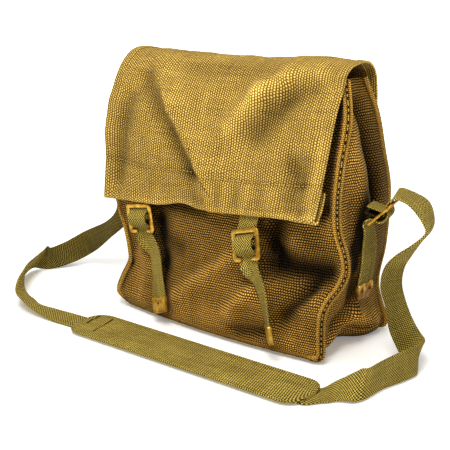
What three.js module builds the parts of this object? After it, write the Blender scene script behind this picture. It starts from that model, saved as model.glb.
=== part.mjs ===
// Canvas haversack standing on the floor: a soft wedge of heavy cotton canvas with a flap,
// two closure straps in brass buckles, and a webbing shoulder strap with a wide pad.
// Millimetres, +Z up, front facing -Y, origin on the floor under the middle of the bag.

import * as THREE from 'three';
import { LoftGeometry } from 'three/addons/geometries/LoftGeometry.js';

// Driving dimensions
const CANVAS = 1.9;
const HEM_LAYERS = 2;
const HEM_HEIGHT = 26;
const FLAP_LENGTH = 300;
const GAP = 0.35;
const SEAM_INSET = 4.7;
const CORNER = 9;
const PIPING_RADIUS = 3.0;
const PIPING_PINCH = 0.28;
const FLAP_LEFT = -127;
const FLAP_RIGHT = 112;
const BOTTOM_ROUND = 9;
const SIDE_LIFT = { rise: 9, middle: 0.4, half: 0.16, drop: 3 };
const BRASS = 2.4;
const BAR = 2.8;
const PRONG = 8;
const CLOSURE = { width: 19.5, thickness: 1.8, frameWidth: 27.2, frameHeight: 27 };
const SHOULDER = { width: 25, thickness: 2, frameWidth: 32.8, frameHeight: 27 };
const CHAPE = 1.4;
const TAB_RISE = 16;
const TIP = { wall: 1.6, corner: 3, hole: 1.7 };
const PAD = { left: -106, right: 145, middleY: -107.5, width: 49, corner: 17, thickness: 2.3, bed: 2.5 };
const DEGREE = Math.PI / 180;

// Level sections of the body from floor to mouth: the four seams and the middle of each face between
const SECTION_COLUMNS = [
  'z', 'frontLeftX', 'frontLeftY', 'frontMidY', 'frontRightX', 'frontRightY', 'rightMidX',
  'backRightX', 'backRightY', 'backMidY', 'backLeftX', 'backLeftY', 'leftMidX',
];
const SECTIONS = table(SECTION_COLUMNS, [
  [4, -112, -46, -56.5, 118.5, -49.5, 105, 121, 57, 61, -116, 56, -108],
  [15, -120, -48.5, -57.5, 117.5, -49, 109, 119, 56, 61, -118, 57, -114],
  [30, -116, -46, -57.5, 116.5, -48.5, 116, 118, 49, 59, -118, 52, -119],
  [45, -111, -41, -55.5, 117, -47.5, 121, 117, 43, 57, -117, 47, -121],
  [56, -113, -39, -53, 119.5, -42, 123, 117, 42, 56, -116, 46, -122],
  [66, -116, -38, -50.5, 124, -34.5, 125, 117, 45, 56, -116, 48, -123],
  [80, -120, -38, -48.5, 128, -31, 127, 117, 51, 57, -117, 52, -124],
  [95, -124, -40, -48, 126.5, -31.5, 127, 117, 54, 58, -118, 55, -125],
  [115, -125, -41, -46.5, 121, -34, 126, 117, 56, 58, -119, 57, -125],
  [140, -125, -39, -43, 120, -35, 124, 117, 55, 55, -119, 55, -124],
  [170, -123, -32, -37, 119, -29, 121, 117, 44, 46, -119, 46, -122],
  [205, -120, -23, -27, 118, -19, 114, 116, 32, 33.5, -117, 33, -117],
  [235, -112, -12, -15, 109, -9.5, 102, 109, 22, 26, -112, 23, -108],
]);

// Side view of the flap at its right end, middle and left end, from the back hem over the top
const FLAP_PROFILE = table(['rightY', 'rightZ', 'midY', 'midZ', 'leftY', 'leftZ'], [
  [37.5, 206, 38, 206, 39, 206],
  [36, 226, 37, 226, 37, 226],
  [31.5, 240, 31, 240, 30, 240],
  [19, 248, 17, 245.5, 16, 245.5],
  [-1, 247, -5, 245, -3, 247],
  [-12.5, 241, -18, 239.5, -17, 242.5],
  [-17, 231, -27, 228, -30, 230],
  [-27, 212, -36.5, 210, -41, 210],
  [-33, 195, -43, 191, -49.5, 193],
  [-39, 176, -48.5, 172, -54, 174],
  [-46, 155, -54, 148, -54, 150],
  [-56.5, 129, -57.5, 119, -58, 112],
]);

// Folds: a crease from one point to another on a face, how far it stands out (+) or in (-), and its
// half width. Points are x and z on the front, back and flap, y and z on the sides.
const FOLD_COLUMNS = ['a0', 'z0', 'a1', 'z1', 'out', 'half'];
const FRONT_FOLDS = table(FOLD_COLUMNS, [
  [-38, 30, 24, 76, 4.5, 10],
  [27, 28, 50, 52, 3.5, 8],
  [58, 82, 118, 84, -6, 9],
  [116, 72, 82, 34, -5, 8],
  [24, 13, 58, 17, -5, 6],
  [96, 112, 90, 104, 4, 18],
  [-54, 116, -50, 84, -5.5, 10],
  [-50, 84, -42, 30, -5, 9],
  [-92, 78, -76, 44, 4, 9],
  [69, 122, 71, 96, -4, 6],
]);
const BACK_FOLDS = table(FOLD_COLUMNS, [
  [-70, 60, 30, 108, 3, 16],
  [80, 150, 30, 60, -3, 14],
]);
const RIGHT_FOLDS = table(FOLD_COLUMNS, [
  [-14, 192, -2, 138, 4, 9],
  [0, 215, 28, 140, -6, 8],
  [-12, 108, -6, 54, -4, 8],
  [-40, 14, -5, 34, 4, 8],
  [-5, 34, 40, 14, 3, 9],
]);
const LEFT_FOLDS = table(FOLD_COLUMNS, [
  [8, 210, 24, 140, -5, 9],
  [-20, 120, 0, 50, 3, 10],
]);
const FLAP_FOLDS = table(FOLD_COLUMNS, [
  [-86, 236, -52, 198, 3, 12],
  [-52, 198, -14, 154, 4, 12],
  [-14, 154, 4, 120, 3, 10],
  [-92, 222, -58, 190, -3, 9],
  [-56, 190, -18, 148, -4, 8],
  [62, 236, 34, 226, 5, 9],
  [34, 226, 9, 191, 5, 12],
  [60, 216, 40, 186, -5, 12],
  [-104, 204, -108, 140, -2.5, 7],
  [84, 168, 92, 132, -3, 7],
]);
const FLAP_HUMP = { x: 68, half: 32, rise: 4 };
const HEM_WAVE = { x: -31, half: 17, rise: 4 };
const FLAP_STEP = 2.4;

// Centre line of the shoulder strap with the direction across it, from each side buckle to the pad
const ROUTE_COLUMNS = ['x', 'y', 'z', 'acrossX', 'acrossY', 'acrossZ'];
const RIGHT_ROUTE = table(ROUTE_COLUMNS, [
  [150.5, 4.3, 140.6, -0.302, 0.951, -0.061],
  [153.7, 5.1, 144.8, -0.32, 0.94, 0.14],
  [164.2, 7.7, 142.1, -0.17, 0.98, 0.12],
  [174, 9, 136.1, -0.02, 0.99, 0.14],
  [180.2, 10, 125.2, -0.15, 0.99, 0.05],
  [180.5, 10, 116.1, -0.26, 0.96, -0.06],
  [171.9, 7, 104.9, -0.17, 0.98, -0.1],
  [161.3, 4.6, 92.6, 0.1, 0.98, -0.17],
  [154, 3.9, 80.8, 0.24, 0.96, -0.15],
  [152.5, 2.7, 65.5, 0.28, 0.96, -0.06],
  [157.9, 1.8, 50.2, 0.22, 0.98, 0.02],
  [163.9, 1.6, 33.6, 0.38, 0.89, 0.23],
  [170.8, 3.1, 20.7, 0.41, 0.79, 0.45],
  [177.2, 2.9, 13.5, 0.41, 0.57, 0.72],
  [182.7, -1.8, 12.7, 0.29, 0.31, 0.9],
  [187, -9.6, 13.5, 0.11, 0.14, 0.98],
  [189.3, -18.2, 13.7, -0.1, 0.01, 0.99],
  [186.3, -35.6, 13.6, -0.16, 0, 0.99],
  [182.2, -58.6, 13.7, -0.02, -0.01, 1],
  [180.7, -80.3, 13.7, -0.01, 0.12, 0.99],
  [175.5, -86.5, 12.7, -0.1, 0.57, 0.82],
  [161.3, -89.3, 6.2, -0.31, 0.89, 0.34],
  [151.4, -98.9, 1.9, -0.41, 0.91, 0.01],
  [141.5, -108.5, 1.3, 0, 1, 0],
  [124, -108, 1.3, 0, 1, 0],
  [108, -107.5, 1.3, 0, 1, 0],
]);
const LEFT_ROUTE = table(ROUTE_COLUMNS, [
  [-149.3, 4.3, 140.6, -0.302, -0.951, 0.061],
  [-157, 4, 137, -0.3, -0.95, 0.1],
  [-162.1, 5.4, 120.3, -0.68, -0.72, 0.15],
  [-169.9, 11.7, 95.9, -0.93, -0.24, 0.29],
  [-178.2, 20.2, 68.2, -0.87, 0.28, 0.41],
  [-198.7, 17.4, 46.8, -0.65, 0.55, 0.53],
  [-233.9, 16.4, 24.8, -0.62, -0.06, 0.78],
  [-246.3, 8.8, 16.4, -0.76, -0.1, 0.64],
  [-254.6, -3.0, 11.8, -0.8, -0.15, 0.58],
  [-257.7, -13.5, 12.2, -0.38, 0.19, 0.91],
  [-258.1, -29.5, 14.3, 0.51, 0.23, 0.83],
  [-244.6, -58.6, 12.0, 0.48, 0.16, 0.86],
  [-215.8, -86.8, 14.3, 0.07, 0.11, 0.99],
  [-193.2, -104.4, 9.5, -0.18, -0.77, 0.61],
  [-175.9, -111.3, 7.3, -0.05, -0.88, 0.47],
  [-156.9, -110.9, 3.6, 0.03, -0.98, 0.19],
  [-134, -109.5, 1.5, 0, -1, 0.01],
  [-116, -108.5, 1.3, 0, -1, 0],
  [-92, -107.5, 1.3, 0, -1, 0],
]);

// Buckles: where each hangs, how it is turned in degrees, how far its tab reaches back, the free end of
// its strap, where 'turn' is the way the strap's width points in degrees from +X, and its tip's length
const TAIL_COLUMNS = ['x', 'y', 'z', 'turn'];
const CLOSURES = [
  {
    side: 'left', x: -81.5, y: -55.2, z: 96.2, pitch: 2, roll: -8, yaw: 7, tabReach: 7,
    tail: table(TAIL_COLUMNS, [
      [-66.5, -53, 66, -17],
      [-60, -56.5, 45.4, -21],
      [-53.7, -61.5, 26.5, -13],
    ]),
    length: 16,
  },
  {
    side: 'right', x: 46.8, y: -61.5, z: 96.3, pitch: -13, roll: -15, yaw: 0, tabReach: 9,
    tail: table(TAIL_COLUMNS, [
      [60.5, -63, 68, -24],
      [67, -65, 56.7, -34],
      [75.3, -68, 31.6, -44],
    ]),
    length: 17,
  },
];
const SIDES = [
  {
    side: 'left', x: -141.3, y: 1, z: 128, pitch: 46, roll: -5, yaw: -104, tabReach: 12.4, route: LEFT_ROUTE,
    tail: table(TAIL_COLUMNS, [
      [-129.4, -1.2, 114.5, -105],
      [-129.4, 1, 107, -99],
      [-129, 2.5, 96, -93],
      [-128.8, 3, 82, -91],
      [-128, 3, 65, -91],
    ]),
    length: 19,
  },
  {
    side: 'right', x: 142.5, y: 1, z: 128, pitch: 46, roll: 5, yaw: 104, tabReach: 12.5, route: RIGHT_ROUTE,
    tail: table(TAIL_COLUMNS, [
      [130.2, -1.2, 114.5, 105],
      [130.2, 1, 107, 99],
      [130, 2.5, 96, 94],
      [130, 2, 82, 93],
      [128.2, 3, 65, 92],
    ]),
    length: 19,
  },
];

// Way of a strap through a buckle, out (+) from the wearer's side and up, as seen from its edge
const THREADED = table(['out', 'up'], [
  [-2.9, 13.6],
  [-2.8, 10.6],
  [-0.6, 7.8],
  [4.4, 4.8],
  [6, 0],
  [4.4, -4.8],
  [-0.6, -7.8],
  [-2.8, -10.6],
  [-3, -14],
  [-3.3, -19],
]);

const CANVAS_CLOTH = { color: 0x9a7a35, roughness: 0.95, metalness: 0 };
const SEAM_CLOTH = { color: 0x8f7434, roughness: 0.95, metalness: 0 };
const WEBBING = { color: 0x6f6530, roughness: 0.9, metalness: 0 };
const METAL = { color: 0xc09a4a, roughness: 0.35, metalness: 1 };

const bag = new THREE.Group();

function table(columns, rows) {
  return rows.map((row) => Object.fromEntries(columns.map((name, i) => [name, row[i]])));
}

function add(name, geometry, finish, parent = bag) {
  const mesh = new THREE.Mesh(geometry, new THREE.MeshStandardMaterial(finish));
  mesh.name = name;
  parent.add(mesh);
}

const lerp = THREE.MathUtils.lerp;
const smooth = THREE.MathUtils.smoothstep;
const steps = (count) => Array.from({ length: count + 1 }, (_, i) => i / count);

// Catmull-Rom through every column of a table, t from 0 at the first row to 1 at the last
function along(rows, t) {
  const last = rows.length - 1;
  const i = Math.min(Math.floor(t * last), last - 1);
  const f = t * last - i;
  const result = {};
  for (const key of Object.keys(rows[0])) {
    const b = rows[i][key];
    const c = rows[i + 1][key];
    const a = i > 0 ? rows[i - 1][key] : 2 * b - c;
    const d = i + 2 <= last ? rows[i + 2][key] : 2 * c - b;
    const bend = 2 * a - 5 * b + 4 * c - d;
    const twist = 3 * b - a - 3 * c + d;
    result[key] = 0.5 * (2 * b + (c - a) * f + bend * f * f + twist * f * f * f);
  }
  return result;
}

// Parabola through three values at 0, a half and 1
function through(start, middle, end, t) {
  return start + (4 * middle - 3 * start - end) * t + (2 * start + 2 * end - 4 * middle) * t * t;
}

// Bell curve of height 1
function bell(value, middle, half) {
  return Math.exp(-(((value - middle) / half) ** 2));
}

// Sum of the folds of a face at one point of it
function foldDepth(folds, a, z) {
  let depth = 0;
  for (const fold of folds) {
    const da = fold.a1 - fold.a0;
    const dz = fold.z1 - fold.z0;
    const t = THREE.MathUtils.clamp(((a - fold.a0) * da + (z - fold.z0) * dz) / (da * da + dz * dz), 0, 1);
    const distance = Math.hypot(a - fold.a0 - t * da, z - fold.z0 - t * dz);
    depth += fold.out * bell(distance, 0, fold.half);
  }
  return depth;
}

// Fades to nothing within a margin of either end of 0 to 1
function edgeFade(t, margin) {
  return smooth(t, 0, margin) * smooth(1 - t, 0, margin);
}

// Normals of a grid of points, as row direction crossed with column direction
function gridNormals(grid) {
  const rows = grid.length;
  const columns = grid[0].length;
  return grid.map((row, i) => row.map((_, j) => {
    const across = grid[i][Math.min(j + 1, columns - 1)].clone().sub(grid[i][Math.max(j - 1, 0)]);
    const onward = grid[Math.min(i + 1, rows - 1)][j].clone().sub(grid[Math.max(i - 1, 0)][j]);
    return across.cross(onward).normalize();
  }));
}

function offsetGrid(grid, depth) {
  const normals = gridNormals(grid);
  return grid.map((row, i) => row.map((p, j) => p.clone().addScaledVector(normals[i][j], depth(i, j))));
}

// A cloth wall: the outer grid, and behind it the same grid one thickness in
function clothWall(outer, thickness) {
  const inner = offsetGrid(outer, (i, j) => -thickness(i, j));
  const rings = outer.map((row, i) => [...row, ...inner[i].slice().reverse()]);
  return new LoftGeometry(rings, { closed: true, capStart: true, capEnd: true });
}

const oneLayer = () => CANVAS;

function frontPoint(u, v) {
  const s = along(SECTIONS, v);
  return new THREE.Vector3(
    lerp(s.frontLeftX, s.frontRightX, u), through(s.frontLeftY, s.frontMidY, s.frontRightY, u), s.z);
}

function backPoint(u, v) {
  const s = along(SECTIONS, v);
  return new THREE.Vector3(
    lerp(s.backLeftX, s.backRightX, u), through(s.backLeftY, s.backMidY, s.backRightY, u), s.z);
}

// Right side, its lower edge arched up off the floor towards the front and down on it towards the back
function rightPoint(t, v) {
  const s = along(SECTIONS, v);
  const arch = SIDE_LIFT.rise * bell(t, SIDE_LIFT.middle, SIDE_LIFT.half);
  const rest = SIDE_LIFT.drop * smooth(t, 0.5, 0.7) * smooth(1 - t, 0, 0.12);
  const lift = (arch - rest) * (1 - smooth(s.z, 4, 40));
  return new THREE.Vector3(
    through(s.frontRightX, s.rightMidX, s.backRightX, t), lerp(s.frontRightY, s.backRightY, t), s.z + lift);
}

function leftPoint(t, v) {
  const s = along(SECTIONS, v);
  return new THREE.Vector3(
    through(s.frontLeftX, s.leftMidX, s.backLeftX, t), lerp(s.frontLeftY, s.backLeftY, t), s.z);
}

// Bottom of the bag: rounds down from its seams to the floor and lies flat there
function bottomPoint(t, u) {
  const left = leftPoint(t, 0);
  const right = rightPoint(t, 0);
  const y = lerp(frontPoint(u, 0).y, backPoint(u, 0).y, t);
  const x = lerp(left.x, right.x, u);
  const edgeHeight = Math.max(
    left.z * (1 - smooth(x - left.x, 0, 2 * BOTTOM_ROUND)),
    right.z * (1 - smooth(right.x - x, 0, 2 * BOTTOM_ROUND)),
    SECTIONS[0].z * (1 - smooth(y - frontPoint(u, 0).y, 0, 2 * BOTTOM_ROUND)),
    SECTIONS[0].z * (1 - smooth(backPoint(u, 0).y - y, 0, 2 * BOTTOM_ROUND)));
  return new THREE.Vector3(x, y, edgeHeight);
}

// The height parameter of a point a little above the bottom seam
function aboveSeam(height) {
  return height / (SECTIONS[1].z - SECTIONS[0].z) / (SECTIONS.length - 1);
}

// A front or back panel, inset from its seams so that the piping lies between it and the gusset
function panelGrid(point, folds, rows, columns) {
  const grid = steps(rows).map((r) => {
    const v = lerp(aboveSeam(SEAM_INSET), 1, r);
    const inset = (r === 0 ? CORNER : SEAM_INSET) / point(0, v).distanceTo(point(1, v));
    return steps(columns).map((c) => point(lerp(inset, 1 - inset, c), v));
  });
  return offsetGrid(grid, (i, j) => {
    const fade = edgeFade(j / columns, 0.08) * smooth(i / rows, 0, 0.06);
    return fade * foldDepth(folds, grid[i][j].x, grid[i][j].z);
  });
}

function frontPanel() {
  return clothWall(panelGrid(frontPoint, FRONT_FOLDS, 22, 20), oneLayer);
}

function backPanel() {
  return clothWall(panelGrid((u, v) => backPoint(1 - u, v), BACK_FOLDS, 13, 10), oneLayer);
}

// Stations round a bottom corner, on the curve from one point to another that the corner point draws out
function roundCorner(from, corner, to) {
  return [0.25, 0.5, 0.75].map((t) => ({
    point: (c) => from(c).multiplyScalar((1 - t) ** 2)
      .addScaledVector(corner(c), 2 * t * (1 - t))
      .addScaledVector(to(c), t * t),
    folds: [],
  }));
}

// The gusset: one strip down the left side, under the bag and up the right side
function gusset() {
  const sideSteps = 16;
  const bottomSteps = 10;
  const columns = 8;
  const low = aboveSeam(CORNER);
  const side = CORNER / (SECTIONS[0].frontRightX - SECTIONS[0].frontLeftX);
  const leftLow = (c) => leftPoint(c, low);
  const leftSide = (c) => bottomPoint(c, side);
  const rightLow = (c) => rightPoint(c, low);
  const rightSide = (c) => bottomPoint(c, 1 - side);
  const stations = [
    ...steps(sideSteps).map((t) => ({ point: (c) => leftPoint(c, lerp(1, low, t)), folds: LEFT_FOLDS })),
    ...roundCorner(leftLow, (c) => leftPoint(c, 0), leftSide),
    ...steps(bottomSteps).map((t) => ({ point: (c) => bottomPoint(c, lerp(side, 1 - side, t)), folds: [] })),
    ...roundCorner(rightSide, (c) => rightPoint(c, 0), rightLow),
    ...steps(sideSteps).map((t) => ({ point: (c) => rightPoint(c, lerp(low, 1, t)), folds: RIGHT_FOLDS })),
  ];
  const grid = stations.map(({ point }) => {
    const inset = SEAM_INSET / point(0).distanceTo(point(1));
    return steps(columns).map((c) => point(lerp(inset, 1 - inset, c)));
  });
  const folded = offsetGrid(grid, (i, j) => (
    edgeFade(j / columns, 0.2) * foldDepth(stations[i].folds, grid[i][j].y, grid[i][j].z)));
  return clothWall(folded, oneLayer);
}

// Flap: its left edge stands in a little below the shoulder, and its hem is lifted at the long crease
function flapPoint(u, v) {
  const p = along(FLAP_PROFILE, v);
  const x = lerp(FLAP_LEFT + FLAP_STEP * smooth(v, 0.66, 0.76), FLAP_RIGHT, u);
  const z = through(p.leftZ, p.midZ, p.rightZ, u);
  const crest = smooth(z, 215, 245);
  const hump = FLAP_HUMP.rise * crest * bell(x, FLAP_HUMP.x, FLAP_HUMP.half);
  const wave = HEM_WAVE.rise * smooth(v, 0.8, 1) * bell(x, HEM_WAVE.x, HEM_WAVE.half);
  return new THREE.Vector3(x, through(p.leftY, p.midY, p.rightY, u), z + hump + wave);
}

function flapGrid(rows, columns) {
  const grid = steps(columns).map((u) => steps(rows).map((v) => flapPoint(u, v)));
  return offsetGrid(grid, (i, j) => {
    const point = grid[i][j];
    const front = smooth(-point.y, 2, 14) * edgeFade(i / columns, 0.05);
    return front * foldDepth(FLAP_FOLDS, point.x, point.z);
  });
}

// The flap, doubled along its front hem
function flap() {
  const rows = 27;
  const columns = 20;
  const grid = flapGrid(rows, columns);
  const hemFrom = 1 - HEM_HEIGHT / FLAP_LENGTH;
  return clothWall(grid, (i, j) => CANVAS * (j / rows > hemFrom ? HEM_LAYERS : 1));
}

// Double-ridged seam piping round the left, bottom and right edge of a face
function piping(point, inward) {
  const sideSteps = 16;
  const bottomSteps = 8;
  const low = aboveSeam(CORNER);
  const side = CORNER / (SECTIONS[0].frontRightX - SECTIONS[0].frontLeftX);
  const stations = [
    ...steps(sideSteps).map((t) => ({ point: () => point(0, lerp(1, low, t)) })),
    ...roundCorner(() => point(0, low), () => point(0, 0), () => point(side, 0)),
    ...steps(bottomSteps).map((t) => ({ point: () => point(lerp(side, 1 - side, t), 0) })),
    ...roundCorner(() => point(1 - side, 0), () => point(1, 0), () => point(1, low)),
    ...steps(sideSteps).map((t) => ({ point: () => point(1, lerp(low, 1, t)) })),
  ];
  const spine = stations.map((station) => station.point());
  const sides = 8;
  const rings = spine.map((onSeam, i) => {
    const centre = onSeam.clone();
    const next = spine[Math.min(i + 1, spine.length - 1)];
    const tangent = next.clone().sub(spine[Math.max(i - 1, 0)]).normalize();
    const intoFace = tangent.clone().cross(new THREE.Vector3(0, 1, 0)).normalize();
    const intoGusset = new THREE.Vector3(0, inward, 0);
    const major = intoFace.clone().sub(intoGusset).normalize();
    const minor = tangent.clone().cross(major).normalize();
    centre.addScaledVector(intoFace, 0.25 * PIPING_RADIUS).addScaledVector(intoGusset, 0.25 * PIPING_RADIUS);
    return steps(sides).slice(0, -1).map((a) => {
      const angle = 2 * Math.PI * a;
      const radius = PIPING_RADIUS * (1 + PIPING_PINCH * Math.cos(2 * angle));
      return centre.clone()
        .addScaledVector(major, radius * Math.cos(angle))
        .addScaledVector(minor, radius * Math.sin(angle));
    });
  });
  return new LoftGeometry(rings, { closed: true, capStart: true, capEnd: true });
}

// A flat band along a centre line. Each station has a point and the direction across the band there;
// where that direction leans along the line, the band keeps its true width.
function band(stations, width, thickness) {
  const rings = stations.map(({ point, across }, i) => {
    const before = stations[Math.max(i - 1, 0)].point;
    const after = stations[Math.min(i + 1, stations.length - 1)].point;
    const tangent = after.clone().sub(before).normalize();
    const side = across.clone().normalize();
    const face = tangent.clone().cross(side);
    side.multiplyScalar(width / 2 / face.length());
    face.normalize().multiplyScalar(thickness / 2);
    return [[-1, -1], [1, -1], [1, 1], [-1, 1]].map(([s, f]) => (
      point.clone().addScaledVector(side, s).addScaledVector(face, f)));
  });
  return new LoftGeometry(rings, { closed: true, capStart: true, capEnd: true });
}

function routeStations(route, count) {
  return steps(count).map((t) => {
    const r = along(route, t);
    return {
      point: new THREE.Vector3(r.x, r.y, r.z),
      across: new THREE.Vector3(r.acrossX, r.acrossY, r.acrossZ),
    };
  });
}

function placement(item) {
  const turn = new THREE.Euler(item.pitch * DEGREE, item.roll * DEGREE, item.yaw * DEGREE, 'ZXY');
  const rotation = new THREE.Matrix4().makeRotationFromEuler(turn);
  return new THREE.Matrix4().makeTranslation(item.x, item.y, item.z).multiply(rotation);
}

// Stations of a strap through a buckle, as far below its bar as stated, and down to its free end
function threadedStations(item, lowest) {
  const matrix = placement(item);
  const barWay = new THREE.Vector3(1, 0, 0).transformDirection(matrix);
  const inside = THREADED.filter(({ up }) => up > lowest).map(({ out, up }) => ({
    point: new THREE.Vector3(0, -out, up).applyMatrix4(matrix),
    across: barWay,
  }));
  const hanging = item.tail.map(({ x, y, z, turn }) => ({
    point: new THREE.Vector3(x, y, z),
    across: new THREE.Vector3(Math.cos(turn * DEGREE), Math.sin(turn * DEGREE), 0),
  }));
  return [...inside, ...hanging];
}

// Rounds a chain of stations off with a Catmull-Rom curve
function refine(stations, count) {
  const points = new THREE.CatmullRomCurve3(stations.map((s) => s.point), false, 'centripetal');
  const ways = new THREE.CatmullRomCurve3(stations.map((s) => s.across), false, 'centripetal');
  return steps(count).map((t) => {
    const flow = points.getTangent(t);
    const across = ways.getPoint(t);
    return { point: points.getPoint(t), across: across.addScaledVector(flow, -across.dot(flow)).normalize() };
  });
}

// Flat brass frame with a middle bar and, below, two short prongs turned in
function buckle(size) {
  const w = size.frameWidth / 2;
  const h = size.frameHeight / 2;
  const outline = [
    [-w, h], [-w, -h], [-w + PRONG, -h], [-w + PRONG, -h + BAR], [-w + BAR, -h + BAR], [-w + BAR, -BAR / 2],
    [w - BAR, -BAR / 2], [w - BAR, -h + BAR], [w - PRONG, -h + BAR], [w - PRONG, -h], [w, -h], [w, h],
  ];
  const window = [[-w + BAR, BAR / 2], [w - BAR, BAR / 2], [w - BAR, h - BAR], [-w + BAR, h - BAR]];
  const shape = new THREE.Shape(outline.map(([x, y]) => new THREE.Vector2(x, y)));
  shape.holes.push(new THREE.Path(window.map(([x, y]) => new THREE.Vector2(x, y))));
  const bevel = 0.3;
  const geometry = new THREE.ExtrudeGeometry(shape, {
    depth: BRASS - 2 * bevel, bevelEnabled: true, bevelThickness: bevel, bevelSize: bevel,
    bevelOffset: -bevel, bevelSegments: 1,
  });
  return geometry.translate(0, 0, bevel - BRASS / 2).rotateX(Math.PI / 2);
}

// Webbing loop round the middle bar of a buckle, its two legs reaching back to the cloth and up a little
function chape(item, size, rise) {
  const across = new THREE.Vector3(1, 0, 0).transformDirection(placement(item));
  const back = new THREE.Vector3(-across.y, across.x, 0).normalize().applyAxisAngle(across, rise * DEGREE);
  const up = across.clone().cross(back);
  const radius = Math.hypot(BAR, BRASS) / 2 + GAP + CHAPE / 2;
  const bend = 8;
  const loop = [
    [item.tabReach, radius],
    ...steps(bend).map((t) => {
      const angle = Math.PI / 2 + Math.PI * t;
      return [radius * Math.cos(angle), radius * Math.sin(angle)];
    }),
    [item.tabReach, -radius],
  ];
  const stations = loop.map(([depth, height]) => ({
    point: new THREE.Vector3(item.x, item.y, item.z).addScaledVector(back, depth).addScaledVector(up, height),
    across,
  }));
  return band(stations, size.width, CHAPE);
}

// Brass strap tip: a plate as wide as the strap with its eyelet holes, rounded above
function strapTip(stations, length, size, holes) {
  const last = stations.at(-1);
  const up = stations.at(-2).point.clone().sub(last.point).normalize();
  const start = last.point.clone().addScaledVector(up, -GAP);
  const half = size.width / 2 + 0.6;
  const shape = new THREE.Shape();
  shape.moveTo(-half, 0).lineTo(half, 0).lineTo(half, -length + TIP.corner);
  shape.absarc(half - TIP.corner, -length + TIP.corner, TIP.corner, 0, -Math.PI / 2, true);
  shape.lineTo(-half + TIP.corner, -length);
  shape.absarc(-half + TIP.corner, -length + TIP.corner, TIP.corner, -Math.PI / 2, -Math.PI, true);
  shape.lineTo(-half, 0);
  for (const x of holes) {
    shape.holes.push(new THREE.Path().absarc(x * half, -length * 0.36, TIP.hole, 0, 2 * Math.PI));
  }
  const depth = size.thickness + TIP.wall;
  const geometry = new THREE.ExtrudeGeometry(shape, { depth, bevelEnabled: false, curveSegments: 5 });
  geometry.translate(0, 0, -depth / 2);
  const side = last.across.clone().addScaledVector(up, -last.across.dot(up)).normalize();
  const basis = new THREE.Matrix4().makeBasis(side, up, side.clone().cross(up)).setPosition(start);
  return geometry.applyMatrix4(basis);
}

// Shoulder pad: a wide band with rounded ends lying flat over the strap's two ends
function shoulderPad() {
  const { left, right, middleY, width, corner, thickness, bed } = PAD;
  const half = width / 2;
  const shape = new THREE.Shape();
  shape.moveTo(left + corner, middleY - half).lineTo(right - corner, middleY - half);
  shape.absarc(right - corner, middleY - half + corner, corner, -Math.PI / 2, 0);
  shape.lineTo(right, middleY + half - corner);
  shape.absarc(right - corner, middleY + half - corner, corner, 0, Math.PI / 2);
  shape.lineTo(left + corner, middleY + half);
  shape.absarc(left + corner, middleY + half - corner, corner, Math.PI / 2, Math.PI);
  shape.lineTo(left, middleY - half + corner);
  shape.absarc(left + corner, middleY - half + corner, corner, Math.PI, 1.5 * Math.PI);
  const extrusion = { depth: thickness, bevelEnabled: false, curveSegments: 5 };
  return new THREE.ExtrudeGeometry(shape, extrusion).translate(0, 0, bed);
}

// Upper end of a closure strap, sewn under the flap's hem above its buckle
function underFlap(item) {
  const rows = 60;
  const grid = flapGrid(rows, 60);
  const hemLeft = FLAP_LEFT + FLAP_STEP;
  const column = Math.round(60 * (item.x - 3 - hemLeft) / (FLAP_RIGHT - hemLeft));
  const clear = HEM_LAYERS * CANVAS + 3 * GAP + CLOSURE.thickness / 2;
  const inner = offsetGrid(grid, () => -clear);
  return [0.935, 0.965, 0.99].map((v) => {
    const row = Math.round(rows * v);
    const across = inner[column + 2][row].clone().sub(inner[column - 2][row]).normalize();
    return { point: inner[column][row], across };
  });
}

add('front_panel', frontPanel(), CANVAS_CLOTH);
add('back_panel', backPanel(), CANVAS_CLOTH);
add('gusset', gusset(), CANVAS_CLOTH);
add('flap', flap(), CANVAS_CLOTH);
add('front_piping', piping(frontPoint, 1), SEAM_CLOTH);
add('back_piping', piping(backPoint, -1), SEAM_CLOTH);

for (const item of CLOSURES) {
  const frame = new THREE.Group();
  frame.applyMatrix4(placement(item));
  bag.add(frame);
  add(`closure_buckle_${item.side}`, buckle(CLOSURE), METAL, frame);
  const stations = threadedStations(item, -20);
  const strap = refine([...underFlap(item), ...stations], 44);
  add(`closure_strap_${item.side}`, band(strap, CLOSURE.width, CLOSURE.thickness), WEBBING);
  add(`closure_tip_${item.side}`, strapTip(strap, item.length, CLOSURE, [0]), METAL);
  add(`closure_tab_${item.side}`, chape(item, CLOSURE, 0), WEBBING);
}

for (const item of SIDES) {
  const frame = new THREE.Group();
  frame.applyMatrix4(placement(item));
  bag.add(frame);
  add(`side_buckle_${item.side}`, buckle(SHOULDER), METAL, frame);
  const strap = refine(threadedStations(item, -15), 36);
  add(`strap_end_${item.side}`, band(strap, SHOULDER.width, SHOULDER.thickness), WEBBING);
  add(`strap_tip_${item.side}`, strapTip(strap, item.length, SHOULDER, [-0.45, 0.45]), METAL);
  add(`side_tab_${item.side}`, chape(item, SHOULDER, TAB_RISE), WEBBING);
  const run = band(routeStations(item.route, 50), SHOULDER.width, SHOULDER.thickness);
  add(`shoulder_strap_${item.side}`, run, WEBBING);
}
add('shoulder_pad', shoulderPad(), WEBBING);

export default bag;
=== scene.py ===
import math

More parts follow.
